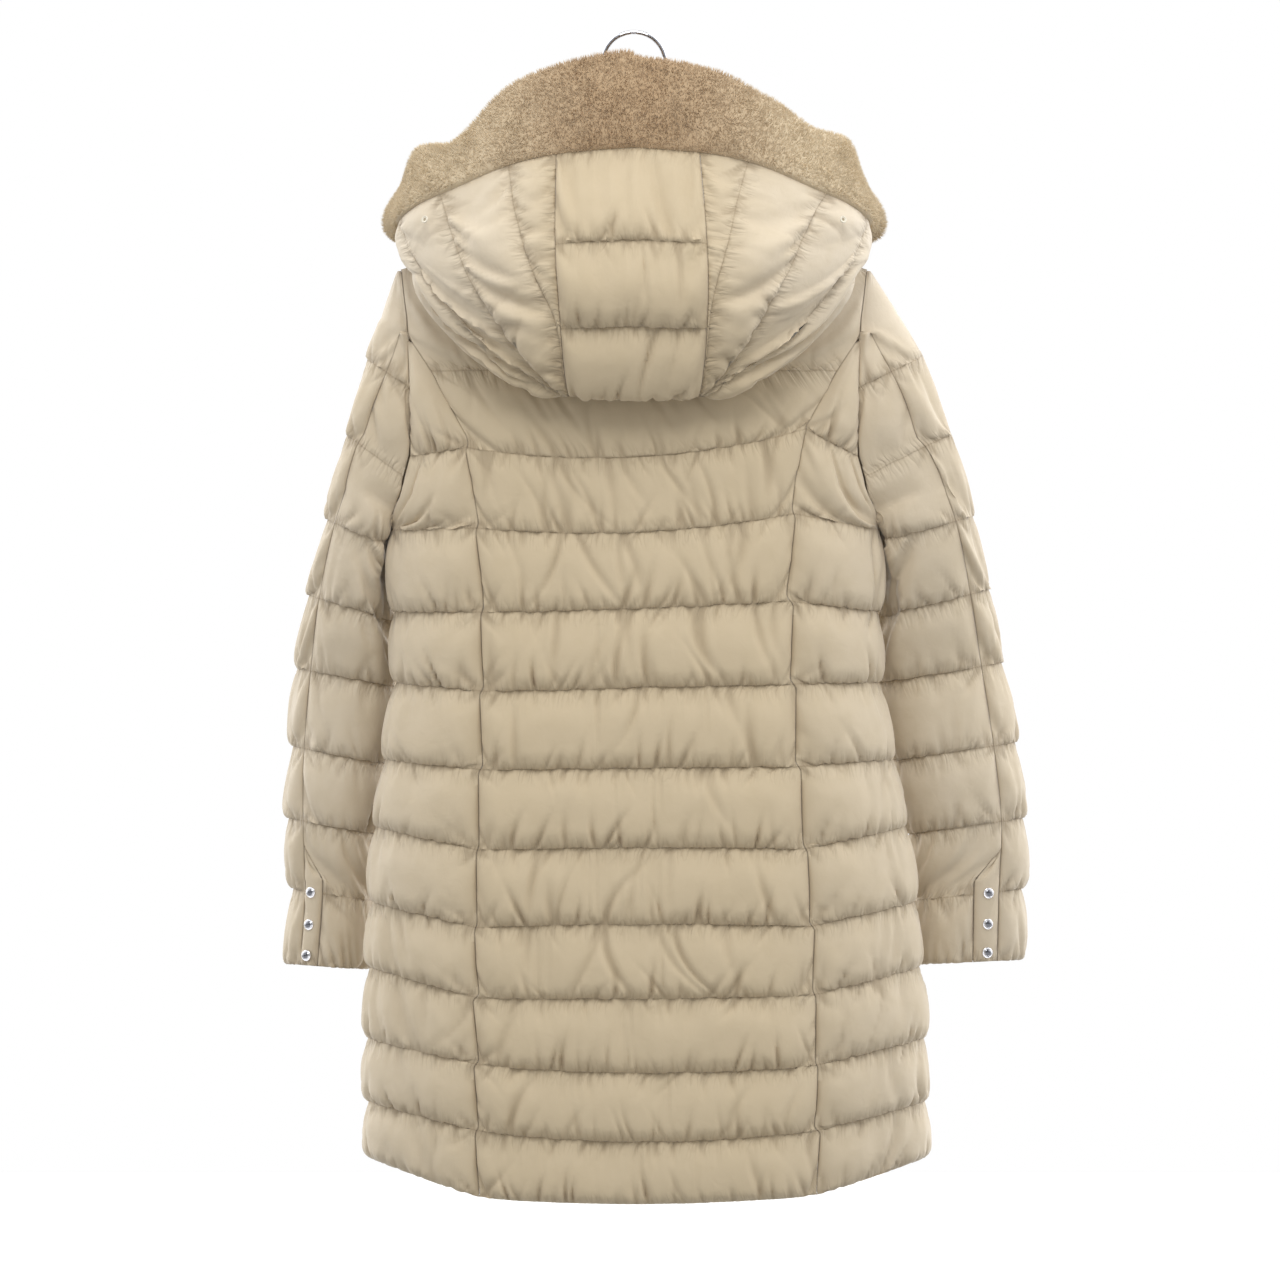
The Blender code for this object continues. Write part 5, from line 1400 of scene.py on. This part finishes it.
def side_sections(side, run, row):
    """Which section a channel's point is at: between the curved quilt lines on either side of
    it, which close on the centre seam, and even beyond the last of them."""
    along = 2 * run
    lines = [side_line(side, name, along) for name in ("seam", "one", "two", "three")]
    lines = np.stack(lines + [np.full_like(along, section) for section in HOOD_SECTIONS[4:]])
    low = np.clip(np.floor(row).astype(int), 0, len(lines) - 2)
    start, end = (np.take_along_axis(lines, low[None] + step, axis=0)[0] for step in (0, 1))
    return start + (end - start) * (row - low), end - start


def hood_side_place(side, run, row):
    return SIDES[side] * (side_sections(side, run, row)[0] + SECTION_GAP), 2 * run


def hood_side_crown(side, run, row):
    width = side_sections(side, run, row)[1] * SECTION_WIDE
    return np.minimum(pressed(2 * run), SEAM_WALL + 0.2 * width)


HOOD_CELLS = 18
quilted("hood_centre", hood_form, HOOD_STEPS, centre_place, CENTRE_MARGIN, centre_crown,
        52, quilt_rows(np.arange(len(HOOD_CROSS) + 0.0), HOOD_CELLS), seed=80)
side_cells = np.array([15, 18, 18, 33, 18, 18]) // 1 // EVERY * EVERY
hood_rows = quilt_rows(np.arange(len(HOOD_SECTIONS) + 0.0), side_cells)
hood_runs = np.concatenate([np.linspace(0, 0.55, 67), np.linspace(0.55, 1, 31)[1:]])
for number, side in enumerate(SIDES):
    quilted(f"hood_side_{side}", hood_form, HOOD_STEPS, partial(hood_side_place, side),
            HOOD_SIDE_MARGIN, partial(hood_side_crown, side), hood_runs, hood_rows,
            seed=90 + number, shift=0.003)

# ---------------------------------------------------------------- The fur trim
# A thick strip of short dense plush round the hood's opening, held on by small clear buttons.
# The strip is a padded leaf in section, and its pile is tens of thousands of fine spikes.

FUR = table(
    "height left   lean_x  lean_y  lift    thick",
    (0.095, 0.099, 0.000, -0.300, 1.000, 0.026),
    (0.090, 0.090, -0.020, -0.340, 1.000, 0.026),
    (0.077, 0.079, 0.100, -0.580, 1.000, 0.026),
    (0.074, 0.058, -0.065, -0.820, 1.000, 0.026),
    (0.082, 0.072, -0.060, -0.890, 1.000, 0.026),
    (0.054, 0.052, -0.260, -1.000, 1.000, 0.022),
    (0.024, 0.024, 1.000, -0.600, -0.095, 0.036),
    (0.040, 0.040, 0.400, -1.000, 0.600, 0.030),
    (0.077, 0.077, 0.140, -1.000, 1.000, 0.026),
    (0.076, 0.076, 0.030, -0.950, 1.000, 0.024),
)
FUR_ROOT = 0.0030             # the strip off the hood's edge
CORE_LOW = -0.0032            # its lower edge, from its root
CORE_CELLS = (260, 44)        # round the opening and round the strip
PILE = 0.0048                 # length of the pile
PILE_WIDE = 0.0009
PILE_SUNK = 0.0012            # how deep it starts in the core
PILE_UP = 0.35                # how much it leans up the strip, in swirls, and each spike alone
PILE_SWIRL = 0.35
PILE_STRAY = 0.20
PIECES = 3
HAIRS = 36000

# The spine that the strip stands on: its root, and the ways off the edge, up and aside.
fur_rows = np.linspace(-HOOD_THROAT, HOOD_THROAT, 217)
root_line = hood_form(fur_rows, np.zeros_like(fur_rows))
fur_shape = {name: through(column, np.abs(fur_rows)) for name, column in FUR.items()}
fur_high = np.where(fur_rows > 0, fur_shape["left"], fur_shape["height"])
fur_up = unit(stacked(np.sign(fur_rows) * fur_shape["lean_x"], fur_shape["lean_y"],
                      fur_shape["lift"]))
fur_leave = unit(root_line - hood_form(fur_rows, np.full_like(fur_rows, 0.03)))
fur_root = (root_line + normals(hood_form, fur_rows, np.zeros_like(fur_rows), HOOD_STEPS)
            * SEAM_WALL / 2)
fur_side = unit(np.cross(unit(np.gradient(fur_root, axis=0)), fur_up))


def on_spine(line, row):
    return np.stack([np.interp(row, fur_rows, axis) for axis in line.T], -1)


def fur_core(row, turn):
    """The strip under its pile: a leaf-shaped section, carried round the opening. Its width
    is a sine of the turn to a power, its rise half of one minus the cosine, and both are
    pulled in by soft dents."""
    root, leave, up, side = (on_spine(line, row) for line in
                             (fur_root, fur_leave, fur_up, fur_side))
    height = np.interp(row, fur_rows, fur_high)
    thick = np.interp(row, fur_rows, fur_shape["thick"])
    along = (row + HOOD_THROAT) / (2 * HOOD_THROAT)
    dent = waves(7, along, turn / (2 * np.pi), (26, 5))
    slump = waves(8, along, 0 * along, (17, 1))
    rise = CORE_LOW + (height - CORE_LOW - PILE * 0.8) * (1 - np.cos(turn)) / 2 * (
        0.95 + 0.05 * slump)
    half_wide = (thick / 2 - PILE * 0.66) * (0.86 + 0.14 * dent)
    wide = half_wide * np.sign(np.sin(turn)) * np.abs(np.sin(turn)) ** 0.6
    end = np.clip((HOOD_THROAT - np.abs(row)) / 0.25, 0.02, 1.0) ** 0.5
    return (root + leave * FUR_ROOT + up * (rise * (0.4 + 0.6 * end))[..., None]
            + side * (wide * end)[..., None])


# Soft pile: dark at the root in painted shade and pale at the tip, browner in the middle of the
# strip, in patches and in each tuft's own tone.
pile = Finish("fur_pile", roughness=0.9, sheen_weight=0.25)
spot = pile.place()
sides = abs(pile.part(spot)).band(0.01, 0.17)
warm = pile.blend(sides, colour(194, 168, 134), colour(214, 198, 169))
warm = pile.blend(pile.cloud(spot, 28.0, 4.0).band(0.35, 0.65) * (1 - sides) * 0.45, warm,
                  colour(166, 137, 102))
# Painted shade: the roots, and the core under the pile, are darkened.
shade = pile.blend(pile.measure("rise").band(-0.1, 0.8),
                   pile.blend(0.25, warm, colour(120, 96, 68)), warm)
pile.give(base_color=pile.blend(pile.measure("tone") * 0.20, shade, colour(232, 218, 192)),
          normal=pile.relief(pile.cloud(spot, 500.0, 3.0), 0.0006, 0.4))

core_rows = np.linspace(-HOOD_THROAT, HOOD_THROAT, CORE_CELLS[0] + 1)
core_turns = np.arange(CORE_CELLS[1]) * 2 * np.pi / CORE_CELLS[1]
core = fur_core(*np.meshgrid(core_rows, core_turns, indexing="ij"))
core_number = np.arange(core[..., 0].size).reshape(core.shape[:2])
core_faces = quads(np.hstack([core_number, core_number[:, :1]])).reshape(-1, 4).tolist()
core_faces += [core_number[0].tolist(), core_number[-1].tolist()]
# The core carries a low rise, so it takes the roots' painted shade.
sewn("fur_core", core.reshape(-1, 3), core_faces, pile,
     {"rise": np.full(core_number.size, 0.2), "tone": np.full(core_number.size, 0.1)},
     nodes=["fur_trim"])

area = np.linalg.norm(np.cross(core[1:, :-1] - core[:-1, :-1], core[:-1, 1:] - core[:-1, :-1]),
                      axis=-1)
for number in range(PIECES):
    draw = np.random.default_rng(300 + number)
    first, last = (CORE_CELLS[0] * step // PIECES for step in (number, number + 1))
    weight = area[first:last].ravel() / area[first:last].sum()
    pick = draw.choice(weight.size, HAIRS, p=weight)
    row = core_rows[first] + (pick // area.shape[1] + draw.uniform(0, 1, HAIRS)) * (
        core_rows[1] - core_rows[0])
    turn = (pick % area.shape[1] + draw.uniform(0, 1, HAIRS)) * core_turns[1]
    foot = fur_core(row, turn)
    up = on_spine(fur_up, row)
    outward = normals(fur_core, row, turn, (0.02, 0.03))
    stand = foot - on_spine(fur_root, row)
    outward *= np.sign(((stand - up * (stand * up).sum(-1, keepdims=True) * 0.98)
                        * outward).sum(-1, keepdims=True))
    along = (row + HOOD_THROAT) / (2 * HOOD_THROAT)
    swirl = np.stack([waves(400 + axis, along, turn / (2 * np.pi), (90, 14))
                      for axis in range(3)], -1)
    grow = unit(outward + up * PILE_UP + swirl * PILE_SWIRL
                + draw.normal(0, PILE_STRAY, (HAIRS, 3)))
    length = PILE * (0.78 + 0.16 * waves(410, along, turn / (2 * np.pi), (60, 10))
                     + draw.uniform(-0.14, 0.10, HAIRS))
    flat_one = unit(np.cross(grow, draw.normal(0, 1, (HAIRS, 3))))
    flat_two = np.cross(grow, flat_one)
    corners = [foot - grow * PILE_SUNK
               + PILE_WIDE / 2 * (math.cos(angle) * flat_one + math.sin(angle) * flat_two)
               for angle in (0, 2 * math.pi / 3, 4 * math.pi / 3)]
    points = np.stack(corners + [foot + grow * length[:, None]], axis=1)
    start = np.arange(HAIRS)[:, None] * 4
    faces = np.concatenate([start + shape for shape in
                            ((0, 1, 3), (1, 2, 3), (2, 0, 3), (2, 1, 0))]).tolist()
    tone = draw.uniform(0, 1, HAIRS) ** 2
    sewn(f"fur_pile_{number + 1}", points.reshape(-1, 3), faces, pile,
         shares={"rise": np.tile([0.0, 0.0, 0.0, 1.0], HAIRS), "tone": np.repeat(tone, 4)},
         nodes=["fur_trim"])

# ---------------------------------------------------------------- The hood's buttons
# Small clear discs sewn to the hood's sides by a few turns of thread, which the trim's loops
# hook over.

BUTTON_RADIUS = 0.0035
BUTTON_HEIGHT = 0.0016
BUTTON_ROW = 2.5              # in the side panel's channels
BUTTON_ALONG = 0.20
BUTTON_TURN = np.array([(0.0, 0.45), (0.24, 0.45), (0.36, 0.52), (0.55, 0.60), (0.70, 0.84),
                        (0.82, 1.0), (0.93, 0.94), (1.0, 0.66), (0.98, 0.22), (0.90, 0.0),
                        (0.0, 0.0)])

clear = Finish("button_clear", roughness=0.2)
clear.give(base_color=clear.blend(clear.measure("reach").band(0.3, 0.5),
                                  colour(150, 136, 108), colour(222, 214, 196)),
           roughness=0.16 + 0.2 * clear.cloud(clear.place(), 400.0))
section = np.interp(BUTTON_ROW, np.arange(len(HOOD_SECTIONS)), HOOD_SECTIONS) + SECTION_GAP
for side, sign in SIDES.items():
    caps(f"clear_button_{side}", BUTTON_TURN, BUTTON_RADIUS, BUTTON_HEIGHT, clear, "button",
         hood_form, HOOD_STEPS, (np.array([sign * section]), np.array([BUTTON_ALONG])),
         HOOD_LOFT, [f"hood_button_{side}"])
